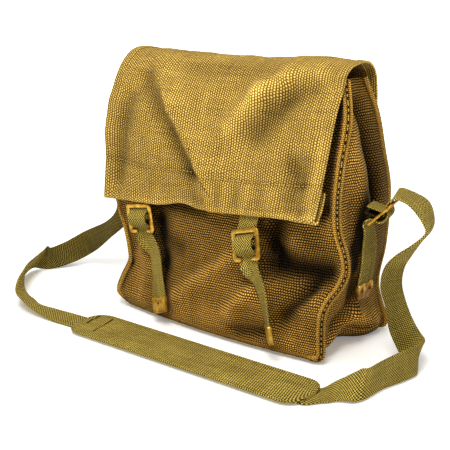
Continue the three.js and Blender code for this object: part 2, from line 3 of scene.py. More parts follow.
import bpy
import numpy as np
from bpy.props import FloatProperty, FloatVectorProperty, IntProperty, PointerProperty
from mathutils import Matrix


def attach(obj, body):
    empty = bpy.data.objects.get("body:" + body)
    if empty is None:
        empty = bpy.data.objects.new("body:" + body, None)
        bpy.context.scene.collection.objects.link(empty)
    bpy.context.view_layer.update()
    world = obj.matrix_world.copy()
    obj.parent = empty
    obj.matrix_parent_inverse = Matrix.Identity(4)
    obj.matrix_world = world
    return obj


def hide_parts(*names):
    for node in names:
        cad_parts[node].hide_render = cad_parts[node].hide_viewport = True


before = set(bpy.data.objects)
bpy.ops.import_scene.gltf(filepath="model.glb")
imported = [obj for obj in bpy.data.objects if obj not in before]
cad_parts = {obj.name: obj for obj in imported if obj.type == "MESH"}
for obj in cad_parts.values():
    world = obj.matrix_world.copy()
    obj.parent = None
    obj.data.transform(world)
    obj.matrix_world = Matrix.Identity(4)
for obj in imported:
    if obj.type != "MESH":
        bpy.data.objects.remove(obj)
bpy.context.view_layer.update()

bl_info = {
    "name": "Canvas Haversack",
    "version": (1, 0, 0),
    "blender": (4, 5, 0),
    "location": "View3D > Sidebar > Haversack",
    "description": "Builds a soft canvas haversack with webbing straps and brass fittings",
    "category": "Object",
}

MM = 0.001

# Level sections of the body from the floor seam to the mouth, in millimetres: the four seams and the
# middle of each face between them
SECTION_COLUMNS = (
    "z", "front_left_x", "front_left_y", "front_mid_y", "front_right_x", "front_right_y", "right_mid_x",
    "back_right_x", "back_right_y", "back_mid_y", "back_left_x", "back_left_y", "left_mid_x",
)
SECTIONS = (
    (4, -112, -46, -56.5, 118.5, -49.5, 105, 121, 57, 61, -116, 56, -108),
    (15, -120, -48.5, -57.5, 117.5, -49, 109, 119, 56, 61, -118, 57, -114),
    (30, -116, -46, -57.5, 116.5, -48.5, 116, 118, 49, 59, -118, 52, -119),
    (45, -111, -41, -55.5, 117, -47.5, 121, 117, 43, 57, -117, 47, -121),
    (56, -113, -39, -53, 119.5, -42, 123, 117, 42, 56, -116, 46, -122),
    (66, -116, -38, -50.5, 124, -34.5, 125, 117, 45, 56, -116, 48, -123),
    (80, -120, -38, -48.5, 128, -31, 127, 117, 51, 57, -117, 52, -124),
    (95, -124, -40, -48, 126.5, -31.5, 127, 117, 54, 58, -118, 55, -125),
    (115, -125, -41, -46.5, 121, -34, 126, 117, 56, 58, -119, 57, -125),
    (140, -125, -39, -43, 120, -35, 124, 117, 55, 55, -119, 55, -124),
    (170, -123, -32, -37, 119, -29, 121, 117, 44, 46, -119, 46, -122),
    (205, -120, -23, -27, 118, -19, 114, 116, 32, 33.5, -117, 33, -117),
    (235, -112, -12, -15, 109, -9.5, 102, 109, 22, 26, -112, 23, -108),
)

# Side view of the flap at its right end, middle and left end, from the back hem over the top
FLAP_COLUMNS = ("right_y", "right_z", "mid_y", "mid_z", "left_y", "left_z")
FLAP_PROFILE = (
    (37.5, 206, 38, 206, 39, 206),
    (36, 226, 37, 226, 37, 226),
    (31.5, 240, 31, 240, 30, 240),
    (19, 248, 17, 245.5, 16, 245.5),
    (-1, 247, -5, 245, -3, 247),
    (-12.5, 241, -18, 239.5, -17, 242.5),
    (-17, 231, -27, 228, -30, 230),
    (-27, 212, -36.5, 210, -41, 210),
    (-33, 195, -43, 191, -49.5, 193),
    (-39, 176, -48.5, 172, -54, 174),
    (-46, 155, -54, 148, -54, 150),
    (-56.5, 129, -57.5, 119, -58, 112),
)

# Flap: its edges, the hump on its crest, how far its left edge draws in lower down, where its folds begin
# and are whole in front of the crest, and its turned side edges
FLAP_LEFT = -127
FLAP_RIGHT = 112
FLAP_LENGTH = 300
FLAP_HUMP = {"x": 68, "half": 32, "rise": 4, "heights": (215, 245)}
FLAP_TAPER = {"inward": 2.4, "along": (0.66, 0.76)}
FLAP_FRONT = (2, 14)
EDGE_TURN = {"lift": 0.9, "inward": (7, 9)}

# Hem of the flap: its gap widens by the flare at the right end, and its lower edge lifts in one wave
HEM_HEIGHT = 26
HEM_GAP = 0.8
HEM_FLARE = 3.6
HEM_WAVE = {"x": -31, "half": 17, "rise": 4, "along": (0.8, 1)}
HEM_GROOVE = {"depth": 0.7, "half": 1.6}
HEM_GATHER = {"height": 0.6, "pitch": 21, "sway": 23, "x": (-30, 20), "fade": 8}

# Folds: a crease from one point to another on a face, how far it stands out (+) or in (-), and its half
# width, or two half widths: on the right hand and on the left hand of the way along it. Points are x and z
# on the front, back and flap, y and z on the sides, with x or y to the right and z up.
FRONT_FOLDS = (
    (-36, 26, 22, 76, 6, 9),
    (24, 28, 50, 57, 5, 7),
    (60, 79, 114, 76, -9, 11),
    (100, 64, 76, 32, -7, 7),
    (28, 13, 60, 18, -5, 6),
    (114, 66, 96, 44, 3, 6),
    (78, 106, 74, 98, 3, 13),
    (-76, 118, -71, 94, -4, 6, 16),
    (-71, 94, -63, 60, -4, 6, 14),
    (-63, 60, -53, 14, -3, 5, 8),
    (-66, 117, -22, 124, -6, 7),
    (52, 126, 108, 130, -5, 6),
    (108, 230, 108, 130, -8, 7),
    (-92, 78, -76, 44, 4, 9),
    (60, 124, 63, 92, -10, 5, 13),
)
BACK_FOLDS = (
    (-70, 60, 30, 108, 3, 16),
    (80, 150, 30, 60, -3, 14),
)
RIGHT_FOLDS = (
    (-14, 192, -2, 138, 4, 9),
    (9, 214, 26, 132, -13, 8),
    (-16, 134, -21, 96, -3, 6),
    (-21, 96, -11, 50, -3, 6),
    (-42, 12, 0, 34, 5, 6),
    (0, 34, 42, 14, 4, 8),
    (-30, 30, -10, 44, -4, 7),
)
LEFT_FOLDS = (
    (8, 210, 24, 140, -5, 9),
    (-20, 120, 0, 50, 3, 10),
)
FLAP_FOLDS = (
    (-86, 236, -52, 198, 3.4, 4, 24),
    (-52, 198, -14, 154, 4.6, 4, 26),
    (-14, 154, 4, 120, 3.6, 4, 22),
    (-92, 222, -58, 190, -3, 8),
    (-49, 182, -18, 148, -4, 8),
    (84, 240, 58, 235, 3, 8),
    (58, 235, 36, 222, 5, 9),
    (36, 222, 13, 192, 5, 9, 14),
    (84, 228, 66, 220, -2.5, 10),
    (61, 216, 42, 190, -4.5, 13),
    (-104, 204, -108, 130, -4, 9),
    (84, 168, 92, 132, -3, 7),
)

# Small creases that the solids are too coarse for, laid over the folds in the same way
FRONT_CREASES = (
    (-20, 60, 30, 88, -1.2, 5),
    (-104, 60, -92, 92, -2, 5),
    (62, 60, 108, 70, 1.5, 6),
)
FLAP_CREASES = (
    (84, 200, 96, 176, 1.2, 6),
    (-30, 215, 10, 232, 1.2, 8),
)

# Painted light, laid out as the folds are: painted highlights (+) on ridges and bulges, and painted shade (-)
# in valleys, under the hem, beside straps and buckles and along the floor, in steps of the shade
FRONT_PAINTED_LIGHT = (
    (-78, 111, -10, 111, -7, 5),
    (-70, 94, -62, 56, -7, 5, 7),
    (-61, 56, -53, 16, -8, 4, 5),
    (-60, 82, -38, 76, -8, 9),
    (54, 104, 61, 90, -10, 6),
    (94, 102, 114, 97, -4, 9),
    (62, 74, 112, 77, -6, 10),
    (82, 36, 108, 68, -6, 6),
    (34, 11, 62, 17, -5, 4),
    (-94, 66, -88, 24, 9, 11),
    (-104, 18, -86, 14, 5, 8),
    (-32, 16, 20, 24, 10, 12),
    (30, 50, 60, 44, 5, 12),
    (80, 16, 112, 12, 5, 8),
    (-113, 76, -105, 45, -9, 4),
    (-105, 45, -114, 22, -9, 4),
    (-50, 26, 21, 79, 4, 5),
    (28, 36, 53, 57, 4, 5),
    (90, 22, 112, 52, 4, 7),
)
RIGHT_PAINTED_LIGHT = (
    (-1, 136, -6, 112, -15, 9),
    (-6, 112, -12, 98, -13, 7),
    (-12, 98, -18, 82, -13, 7),
    (-18, 82, -9, 52, -11, 7),
    (-2, 33, 44, 17, 9, 8),
    (6, 8, 54, 2, -14, 7),
)
FLAP_PAINTED_LIGHT = (
    (94, 176, 97, 122, -4, 3),
    (104, 190, 106, 122, 5, 5),
    (14, 190, 36, 222, 5, 6),
    (36, 222, 60, 236, 5, 6),
    (60, 236, 90, 241, 3, 6),
    (40, 190, 50, 206, -3, 11),
    (54, 211, 82, 228, -2, 11),
    (79, 167, 92, 153, -4, 8),
    (-88, 224, -60, 194, -3, 7),
    (-50, 183, -24, 150, -4, 7),
    (-24, 150, -10, 122, -3, 7),
    (-95, 208, -107, 140, -2, 10),
    (-40, 236, 44, 240, -3, 9),
)

# Shade of whole parts in the same steps: the panels and the flap are evenly darker by their amounts. The rest
# is
# painted light: ridge, gather and groove are steps of painted highlight and shade for each millimetre of
# height, bend and edge are painted highlights on the hem, the right side has a painted highlight in front of
# its strap and painted shade behind it and along the floor, the shoulder strap painted shade on its far left
# and hanging right runs, the tabs painted shade underneath, and the darkest step is near black
PANEL_DARKER = 0.6
FLAP_DARKER = 0.9
FLAP_SHADE = {"ridge": 0.4, "gather": 4, "groove": 6, "bend": 5, "edge": 4}
SIDE_PAINTED_LIGHT = {
    "front": 4, "front_y": (-22, 0), "behind_y": (8, 32), "low": -5, "low_z": (40, 60),
    "high": -7.5, "high_z": (70, 130), "under": -14,
}
STRAP_PAINTED_SHADE = {
    "left": -9, "left_x": (-160, -120), "left_y": (-45, -5),
    "right": -5, "right_x": (120, 140), "right_y": (-30, -10), "right_z": (62, 36),
}
TAB_PAINTED_SHADE = -15
DARKEST = -16.0

# Centre line of the shoulder strap with the way across it: from each buckle to the pad, and under the pad
LEFT_ROUTE = (
    (-149.3, 4.3, 140.6, -0.302, -0.951, 0.061),
    (-157, 4, 137, -0.3, -0.95, 0.1),
    (-162.1, 5.4, 120.3, -0.68, -0.72, 0.15),
    (-169.9, 11.7, 95.9, -0.93, -0.24, 0.29),
    (-178.2, 20.2, 68.2, -0.87, 0.28, 0.41),
    (-198.7, 17.4, 46.8, -0.65, 0.55, 0.53),
    (-233.9, 16.4, 24.8, -0.62, -0.06, 0.78),
    (-246.3, 8.8, 16.4, -0.76, -0.1, 0.64),
    (-254.6, -3, 11.8, -0.8, -0.15, 0.58),
    (-257.7, -13.5, 12.2, -0.38, 0.19, 0.91),
    (-258.1, -29.5, 14.3, 0.51, 0.23, 0.83),
    (-244.6, -58.6, 12, 0.48, 0.16, 0.86),
    (-215.8, -86.8, 14.3, 0.07, 0.11, 0.99),
    (-193.2, -104.4, 9.5, -0.18, -0.77, 0.61),
    (-175.9, -111.3, 7.3, -0.05, -0.88, 0.47),
    (-156.9, -110.9, 3.6, 0.03, -0.98, 0.19),
    (-134, -109.5, 1.5, 0, -1, 0.01),
    (-116, -108.5, 1.3, 0, -1, 0),
    (-92, -107.5, 1.3, 0, -1, 0),
)
PAD_ROUTE = (
    (-50, -107.5, 1.3, 0, -1, 0),
    (8, -107.5, 1.3, 0, -1, 0),
    (66, -107.5, 1.3, 0, -1, 0),
)
RIGHT_ROUTE = (
    (150.5, 4.3, 140.6, -0.302, 0.951, -0.061),
    (153.7, 5.1, 144.8, -0.32, 0.94, 0.14),
    (164.2, 7.7, 142.1, -0.17, 0.98, 0.12),
    (174, 9, 136.1, -0.02, 0.99, 0.14),
    (180.2, 10, 125.2, -0.15, 0.99, 0.05),
    (180.5, 10, 116.1, -0.26, 0.96, -0.06),
    (171.9, 7, 104.9, -0.17, 0.98, -0.1),
    (161.3, 4.6, 92.6, 0.1, 0.98, -0.17),
    (154, 3.9, 80.8, 0.24, 0.96, -0.15),
    (152.5, 2.7, 65.5, 0.28, 0.96, -0.06),
    (157.9, 1.8, 50.2, 0.22, 0.98, 0.02),
    (163.9, 1.6, 33.6, 0.38, 0.89, 0.23),
    (170.8, 3.1, 20.7, 0.41, 0.79, 0.45),
    (177.2, 2.9, 13.5, 0.41, 0.57, 0.72),
    (182.7, -1.8, 12.7, 0.29, 0.31, 0.9),
    (187, -9.6, 13.5, 0.11, 0.14, 0.98),
    (189.3, -18.2, 13.7, -0.1, 0.01, 0.99),
    (186.3, -35.6, 13.6, -0.16, 0, 0.99),
    (182.2, -58.6, 13.7, -0.02, -0.01, 1),
    (180.7, -80.3, 13.7, -0.01, 0.12, 0.99),
    (175.5, -86.5, 12.7, -0.1, 0.57, 0.82),
    (161.3, -89.3, 6.2, -0.31, 0.89, 0.34),
    (151.4, -98.9, 1.9, -0.41, 0.91, 0.01),
    (141.5, -108.5, 1.3, 0, 1, 0),
    (124, -108, 1.3, 0, 1, 0),
    (108, -107.5, 1.3, 0, 1, 0),
)

# Buckles: centre, how each is turned in degrees, how far its tab reaches back and rises in degrees, the free
# end of its strap with the way its width points in degrees from +X, and the length of its tip
CLOSURES = (
    {
        "side": "left", "centre": (-81.5, -55.2, 96.2),
        "pitch": 2, "roll": -8, "yaw": 7, "reach": 7, "rise": 0,
        "tail": ((-66.5, -53, 66, -17), (-60, -56.5, 45.4, -21), (-53.7, -61.5, 26.5, -13)), "tip": 16,
    },
    {
        "side": "right", "centre": (46.8, -61.5, 96.3),
        "pitch": -13, "roll": -15, "yaw": 0, "reach": 9, "rise": 0,
        "tail": ((60.5, -63, 68, -24), (67, -65, 56.7, -34), (75.3, -68, 31.6, -44)), "tip": 17,
    },
)
SIDES = (
    {
        "side": "left", "centre": (-141.3, 1, 128),
        "pitch": 46, "roll": -5, "yaw": -104, "reach": 12.4, "rise": 16,
        "tail": ((-129.4, -1.2, 114.5, -105), (-129.4, 1, 107, -99), (-129, 2.5, 96, -93),
                 (-128.8, 3, 82, -91), (-127.7, 3, 57.5, -91)), "tip": 11.5,
    },
    {
        "side": "right", "centre": (142.5, 1, 128),
        "pitch": 46, "roll": 5, "yaw": 104, "reach": 12.5, "rise": 16,
        "tail": ((130.2, -1.2, 114.5, 105), (130.2, 1, 107, 99), (130, 2.5, 96, 94), (130, 2, 82, 93),
                 (127.6, 1.2, 60.5, 92)), "tip": 11.5,
    },
)

# Way of a strap through a buckle, out (+) from the wearer's side and up, as seen from its edge
THREADED = (
    (-2.9, 13.6), (-2.8, 10.6), (-0.6, 7.8), (4.4, 4.8), (6, 0), (4.4, -4.8), (-0.6, -7.8), (-2.8, -10.6),
    (-3, -14), (-3.3, -19),
)

# Webbing with the frame of its buckle, and the pad of the shoulder strap, in millimetres
CLOSURE_WEB = {"width": 19.5, "thickness": 1.8, "frame_width": 27.2, "frame_height": 27}
SHOULDER_WEB = {"width": 25, "thickness": 2, "frame_width": 32.8, "frame_height": 27}
PAD = {
    "left": -109, "right": 147, "middle_y": -107.5, "width": 49, "corner": 17, "thickness": 2.4, "bed": 2.4,
}
PAD_SEAMS = (((-99.7, -111.5), (-102.7, -91.1)), ((-80.1, -121.1), (-86.5, -91.5)))

# Where a closure strap is sewn inside the hem: its places along the flap, how far it is to the left of its
# buckle, and how far it stands off the cloth
CLOSURE_SEWN = (0.935, 0.965, 0.985)
CLOSURE_SHIFT = 3
CLOSURE_CLEAR = 1.2

# Lower edges of the body: rounded corners, the right side's arch and lobe, and how far the panels and the
# gusset stop short of their seams, in millimetres and as a share of the gusset's depth
CORNER = 9
BOTTOM_ROUND = 9
SIDE_LIFT = {
    "rise": 9, "middle": 0.4, "half": 0.16, "drop": 3, "drop_from": (0.5, 0.7), "end": 0.12, "z": (4, 40),
}
SIDE_LOBE = {"out": 8, "middle": 0.76, "half": 0.16, "end": 0.1, "z": (6, 32)}
PANEL_INSET = 3
PANEL_RISE = 1.2
GUSSET_INSET = 0.024

# Binding of the seams: its profile, how far it sits in, its finer thread, how it thins where it is tucked
# under the bag, and its painted light: a painted highlight on its ridges and painted shade in its groove,
# where it is tucked under the bag and all along the back seam
BINDING = {
    "radius": 3.0, "waist": 0.5, "bulge": 0.84, "power": 1.4, "seat": 0.75, "thread": 0.7, "tuck": 0.45,
    "tuck_x": (100, 114), "tuck_z": (5, 12), "groove": 0.64, "ridge_shade": 10, "groove_shade": -26,
    "tuck_shade": -12, "back_painted_shade": 8,
}

# Stitches: their length, radius and shade, and how each row is laid out
SEAM_STITCH = {"length": 2.8, "radius": 0.55, "shade": 1, "margin": 3, "pitch": 4.2, "lift": 1.6}
HEM_STITCH = {"length": 2.6, "radius": 0.42, "shade": -3, "count": 66}
PAD_STITCH = {"length": 3.4, "radius": 0.8, "shade": -14, "count": 11}

# Brass frames and the webbing loops round their middle bars
BAR = 2.8
BAR_FACE = 4.2
PRONG = 8
FRAME_CORNER = 2.0
BRASS_PLATE = 2.4
CHAPE = 1.4
GAP = 0.35

# Brass tips by their number of lobes: eyelet radius and height, the rounded top's rise, drop and notch, and
# how much darker brown the tip is made, less so towards its top
TIPS = {
    1: {"bore": 1.2, "eyelet": -5.5, "rise": 1.8, "drop": 0.4, "notch": 1.6, "tip_darkening": 0.0},
    2: {"bore": 1.6, "eyelet": -2.6, "rise": 6.0, "drop": 1.6, "notch": 0.0, "tip_darkening": 0.8},
}
TIP_CORNER = 1.6
TIP_SIDE = 0.6
TIP_WALL = 0.8
EYELET_LAP = 0.3
EYELET_LIFT = 0.2

# Share of a face over which its folds and its small waves die away towards its edges, and for the waves of
# the gusset near the floor and of the flap near its sides, the millimetres
PANEL_FADE = {"folds": 0.045, "foot": 0.06, "waves": 0.03}
GUSSET_FADE = {"folds": 0.2, "waves": 0.08, "waves_z": (6, 40)}
FLAP_FADE = {"folds": 0.05, "waves": 10}

# Counts of points along or round each shape
SAMPLES = {
    "gusset": 90, "side": 200, "bottom": 120, "corner": 14, "seam": 150, "seam_corner": 8, "binding": 26,
    "threaded": 150, "shoulder": 460, "pad": 160, "wire": 16, "plate": 72, "crown": 19, "eyelet": 12,
}

# Small waves of the cloth, and the sizes of stains, yarn streaks, film and scratches, in millimetres
PUCKER_LENGTHS = (14, 46)
PUCKER_WAVES = 9
PUCKER_SCALE = 2.2
STAIN_SIZE = 32
YARN = {"width": 1.6, "length": 50}
FILM_SIZE = 6
SCRATCH_SIZE = 1.2
SCRATCH_DEPTH = 0.1

# Stage: the point the camera looks at in millimetres, and the floor and the lamps in metres
TARGET = (-24.5, 0, 87.5)
FLOOR = {"half": 20, "near": 0.25, "far": 1.4, "far_glow": 1.05}
KEY_LAMP = {"place": (0.35, -0.75, 1.2), "size": 0.5}
TOP_LAMP = {"place": (-0.2, 0.1, 1.5), "size": 1.2}
LAMP_AIM = (0, 0, 0.1)


def linear(hex_colour):
    """sRGB hex to linear: c / 12.92 up to 0.04045, and ((c + 0.055) / 1.055) to the power 2.4 above."""
    channels = np.array([int(hex_colour[i:i + 2], 16) / 255 for i in (0, 2, 4)])
    return tuple(np.where(channels <= 0.04045, channels / 12.92, ((channels + 0.055) / 1.055) ** 2.4))


def srgb_property(name, description, hex_colour):
    """A colour of the panel, given as sRGB hex."""
    return FloatVectorProperty(
        name=name, description=description, default=linear(hex_colour), subtype="COLOR", min=0, max=1)


def length_property(name, description, millimetres):
    """A length of the panel, given in millimetres."""
    return FloatProperty(
        name=name, description=description, default=millimetres * MM, unit="LENGTH", precision=5)


class HaversackCloth(bpy.types.PropertyGroup):
    """Sizes and colours of the canvas and the webbing"""
    thickness: length_property("Canvas thickness", "Thickness of one layer of canvas", 1.9)
    pucker: length_property("Pucker", "Height of the small waves all over the canvas", 0.45)
    canvas_thread: length_property("Canvas thread", "Distance from one canvas thread to the next", 2.3)
    webbing_thread: length_property("Webbing thread", "Distance from one webbing thread to the next", 1.25)
    detail: IntProperty(
        name="Detail", description="Grid steps along the longer side of a cloth panel", default=220,
        min=40, max=300)
    # The flap's canvas and gaps are paler than the body's: partly cloth faded by the sun, partly painted
    # light for the flap's lit top over the body in its shade
    faded_painted_bright: srgb_property("Faded canvas", "Ochre of the flap, bleached by light", "f0d07c")
    canvas: srgb_property("Canvas", "Brown ochre of the body", "dcb361")
    faded_painted_bright_gap: srgb_property("Faded gaps", "Brown between the threads of the flap", "7d6026")
    canvas_gap: srgb_property("Canvas gaps", "Brown between the canvas threads", "3f290b")
    binding_gap: srgb_property("Binding gaps", "Brown between the threads of the bound seams", "664c1c")
    webbing: srgb_property("Webbing", "Olive of the webbing", "e0c970")
    webbing_gap: srgb_property("Webbing gaps", "Dark olive between the webbing threads", "372d0d")


class HaversackMetal(bpy.types.PropertyGroup):
    """Finish of the brass fittings"""
    brass: srgb_property("Brass", "Worn yellow brass", "e0c068")
    tarnish: srgb_property("Tarnish", "Brown film in patches on the brass", "b88b3a")
    tip_darkening: srgb_property("Patina", "Dark brown film on the wide tips", "6e4512")
    roughness: FloatProperty(
        name="Roughness", description="How far the brass scatters light", default=0.34,
        min=0, max=1, subtype="FACTOR")


class HaversackStage(bpy.types.PropertyGroup):
    """Camera, floor and light"""
    azimuth: FloatProperty(
        name="Azimuth", description="Turn of the camera to the bag's right", default=math.radians(38.4),
        unit="ROTATION")
    elevation: FloatProperty(
        name="Elevation", description="Height of the camera above the horizon", default=math.radians(16),
        unit="ROTATION")
    distance: FloatProperty(
        name="Distance", description="From the camera to the point it looks at", default=0.942, unit="LENGTH")
    lens: FloatProperty(name="Lens", description="Focal length in millimetres", default=80)
    key: FloatProperty(name="Key light", description="Power of the main lamp", default=8.9, unit="POWER")
    top: FloatProperty(
        name="Top light", description="Power of the wide lamp overhead", default=8.9, unit="POWER")
    fill: FloatProperty(name="Fill light", description="Strength of the light from all round", default=0.2)
    floor_glow: FloatProperty(
        name="Floor glow", description="Light that the pale floor sends up", default=0.2)


def catmull(rows, t):
    """Uniform Catmull-Rom: a cubic through every row in turn, t from 0 to 1, its ends carried on straight."""
    rows = np.asarray(rows, float)
    last = len(rows) - 1
    padded = np.vstack([2 * rows[0] - rows[1], rows, 2 * rows[-1] - rows[-2]])
    place = np.clip(t, 0, 1) * last
    i = np.minimum(place.astype(int), last - 1)
    f = (place - i)[..., None]
    a, b, c, d = padded[i], padded[i + 1], padded[i + 2], padded[i + 3]
    square = 2 * a - 5 * b + 4 * c - d
    cube = 3 * b - a - 3 * c + d
    return 0.5 * (2 * b + (c - a) * f + square * f ** 2 + cube * f ** 3)


def centripetal(rows, positions, count):
    """Catmull-Rom with knots apart by the root of the distance between positions, which never overshoots:
    straight lines between rows, then between those lines, then between the results."""
    rows = np.asarray(rows, float)
    padded = np.vstack([2 * rows[0] - rows[1], rows, 2 * rows[-1] - rows[-2]])
    spots = np.vstack([2 * positions[0] - positions[1], positions, 2 * positions[-1] - positions[-2]])
    knots = np.concatenate([[0], np.cumsum(np.sqrt(np.linalg.norm(np.diff(spots, axis=0), axis=1)))])
    t = np.linspace(knots[1], knots[-2], count)
    i = np.clip(np.searchsorted(knots, t, side="right") - 1, 1, len(rows) - 1)
    t0, t1, t2, t3 = (knots[i + k][:, None] for k in (-1, 0, 1, 2))
    p0, p1, p2, p3 = (padded[i + k] for k in (-1, 0, 1, 2))
    t = t[:, None]

    def between(low, high, start, end):
        """Straight line that is start at the low knot and end at the high one."""
        return mix(start, end, (t - low) / (high - low))

    first = between(t0, t2, between(t0, t1, p0, p1), between(t1, t2, p1, p2))
    second = between(t1, t3, between(t1, t2, p1, p2), between(t2, t3, p2, p3))
    return between(t1, t2, first, second)


def mix(a, b, t):
    """Straight line from a to b."""
    return a + (b - a) * t


def through(start, middle, end, t):
    """Parabola through three values at 0, a half and 1."""
    return start + (4 * middle - 3 * start - end) * t + (2 * start + 2 * end - 4 * middle) * t * t


def corner_curve(start, corner, end, t):
    """A rounded corner: (1 - t) squared start + 2 t (1 - t) corner + t squared end."""
    return (1 - t) ** 2 * start + 2 * t * (1 - t) * corner + t ** 2 * end


def ramp(x, low, high):
    """Smooth step: 0 below low, 1 above high, 3 s squared less 2 s cubed between."""
    s = np.clip((np.asarray(x, float) - low) / (high - low), 0, 1)
    return s * s * (3 - 2 * s)


def bell(x, middle, half):
    """Bell curve: exp(-((x - middle) / half) squared)."""
    return np.exp(-((x - middle) / half) ** 2)


def edge_fade(t, margin):
    """1 in the middle of 0 to 1, and 0 at both ends, over a margin."""
    return ramp(t, 0, margin) * ramp(1 - t, 0, margin)


def unit(vectors):
    """Vectors of length one."""
    return vectors / np.maximum(np.linalg.norm(vectors, axis=-1, keepdims=True), 1e-9)


def running(points):
    """Distance along a line of points: 0, then the sum of the steps so far."""
    return np.concatenate([[0], np.cumsum(np.linalg.norm(np.diff(points, axis=0), axis=1))])


def fold_relief(folds, a, z):
    """Sum over the folds of out times exp(-(distance from the crease / half width on that side) squared)."""
    relief = np.zeros(np.broadcast(a, z).shape)
    for a0, z0, a1, z1, out, right, *left in folds:
        da, dz = a1 - a0, z1 - z0
        t = np.clip(((a - a0) * da + (z - z0) * dz) / (da * da + dz * dz), 0, 1)
        distance = np.hypot(a - a0 - t * da, z - z0 - t * dz)
        half = np.where(da * (z - z0) > dz * (a - a0), (left or [right])[0], right)
        relief += out * bell(distance, 0, half)
    return relief


def pucker(a, z, height, seed):
    """Small waves of handled cloth: a sum of plane waves in fixed chance directions, the height of each in
    proportion to its length."""
    chance = np.random.default_rng(seed)
    waves = np.zeros(np.broadcast(a, z).shape)
    shortest, longest = PUCKER_LENGTHS
    for length in np.linspace(shortest, longest, PUCKER_WAVES):
        way, phase = chance.uniform(0, math.pi), chance.uniform(0, 2 * math.pi)
        onward = a * math.cos(way) + z * math.sin(way)
        waves += np.sin(2 * math.pi * onward / length + phase) * length / longest
    return height * waves / PUCKER_SCALE


def grid_normals(grid):
    """Normals of a grid of points: the way along a row crossed with the way from row to row."""
    return unit(np.cross(np.gradient(grid, axis=1), np.gradient(grid, axis=0)))


def section(v):
    """Columns of the level sections at heights v from 0, the floor seam, to 1, the mouth."""
    values = np.moveaxis(catmull(SECTIONS, v), -1, 0)
    return dict(zip(SECTION_COLUMNS, values))


def wall_face(wall, u, v):
    """Front or back of the bag: x straight and y a parabola from seam to seam at each height."""
    s = section(v)
    x = mix(s[f"{wall}_left_x"], s[f"{wall}_right_x"], u)
    y = through(s[f"{wall}_left_y"], s[f"{wall}_mid_y"], s[f"{wall}_right_y"], u)
    return np.stack([x, y, s["z"] + 0 * u], -1)


def side_face(side, t, v):
    """Left or right side: y straight and x a parabola from front to back. The right side has a lobe low down
    at the back, and its lower edge arches up off the floor towards the front and down on it behind."""
    s = section(v)
    x = through(s[f"front_{side}_x"], s[f"{side}_mid_x"], s[f"back_{side}_x"], t)
    y = mix(s[f"front_{side}_y"], s[f"back_{side}_y"], t)
    z = s["z"] + 0 * t
    if side == "right":
        lobe = SIDE_LOBE["out"] * bell(t, SIDE_LOBE["middle"], SIDE_LOBE["half"])
        lobe = lobe * (1 - ramp(z, *SIDE_LOBE["z"])) * ramp(1 - t, 0, SIDE_LOBE["end"])
        drop = SIDE_LIFT["drop"] * ramp(t, *SIDE_LIFT["drop_from"]) * ramp(1 - t, 0, SIDE_LIFT["end"])
        lift = SIDE_LIFT["rise"] * bell(t, SIDE_LIFT["middle"], SIDE_LIFT["half"]) - drop
        x, z = x + lobe, z + lift * (1 - ramp(z, *SIDE_LIFT["z"]))
    return np.stack([x, y, z], -1)


def bottom_face(t, u):
    """Bottom: from the left edge to the right, round from the seams' height down to the floor, then flat."""
    zero = np.zeros(np.broadcast(t, u).shape)
    left, right = (side_face(side, t + zero, zero) for side in ("left", "right"))
    front, back = (wall_face(wall, u + zero, zero) for wall in ("front", "back"))
    x = mix(left[..., 0], right[..., 0], u)
    y = mix(front[..., 1], back[..., 1], t)
    edges = ((left, x - left[..., 0]), (right, right[..., 0] - x),
             (front, y - front[..., 1]), (back, back[..., 1] - y))
    reach = 2 * BOTTOM_ROUND
    height = np.max([edge[..., 2] * (1 - ramp(inward, 0, reach)) for edge, inward in edges], axis=0)
    return np.stack([x, y, height], -1)


def above_seam(height):
    """The height parameter of a point that many millimetres above the bottom seam."""
    return height / (SECTIONS[1][0] - SECTIONS[0][0]) / (len(SECTIONS) - 1)


def corner_share():
    """The share of the bottom seam's width that a rounded lower corner takes up."""
    lowest = dict(zip(SECTION_COLUMNS, SECTIONS[0]))
    return CORNER / (lowest["front_right_x"] - lowest["front_left_x"])


def arc_lengths(grid):
    """Distance along a grid's rows and along its columns, each averaged over the other way, as a UV grid."""
    across = np.linalg.norm(np.diff(grid, axis=1), axis=-1).mean(0)
    onward = np.linalg.norm(np.diff(grid, axis=0), axis=-1).mean(1)
    u, v = (np.concatenate([[0], np.cumsum(steps)]) for steps in (across, onward))
    return np.stack(np.broadcast_arrays(u[None, :], v[:, None]), -1)


def cloth_wall(outer, thickness):
    """A closed cloth wall: the outer grid, the grid moved in along its normals, and a rim between them."""
    rows, columns = outer.shape[:2]
    inner = outer - grid_normals(outer) * thickness
    index = np.arange(rows * columns).reshape(rows, columns)
    quads = np.stack([index[:-1, :-1], index[:-1, 1:], index[1:, 1:], index[1:, :-1]], -1).reshape(-1, 4)
    loop = np.concatenate([index[0, :-1], index[:-1, -1], index[-1, :0:-1], index[:0:-1, 0]])
    after = np.roll(loop, -1)
    rim = np.stack([loop, loop + rows * columns, after + rows * columns, after], -1)
    faces = np.concatenate([quads, quads[:, ::-1] + rows * columns, rim])
    points = np.concatenate([outer.reshape(-1, 3), inner.reshape(-1, 3)])
    uv = np.tile(arc_lengths(outer).reshape(-1, 2), (2, 1))
    return points, faces, uv[faces]


def tube_quads(rings, sides):
    """The numbers of the points of a tube, ring by ring, and the quads between its rings."""
    index = np.arange(rings * sides).reshape(rings, sides)
    after = np.roll(index, -1, axis=1)
    return index, np.stack([index[:-1], after[:-1], after[1:], index[1:]], -1).reshape(-1, 4)


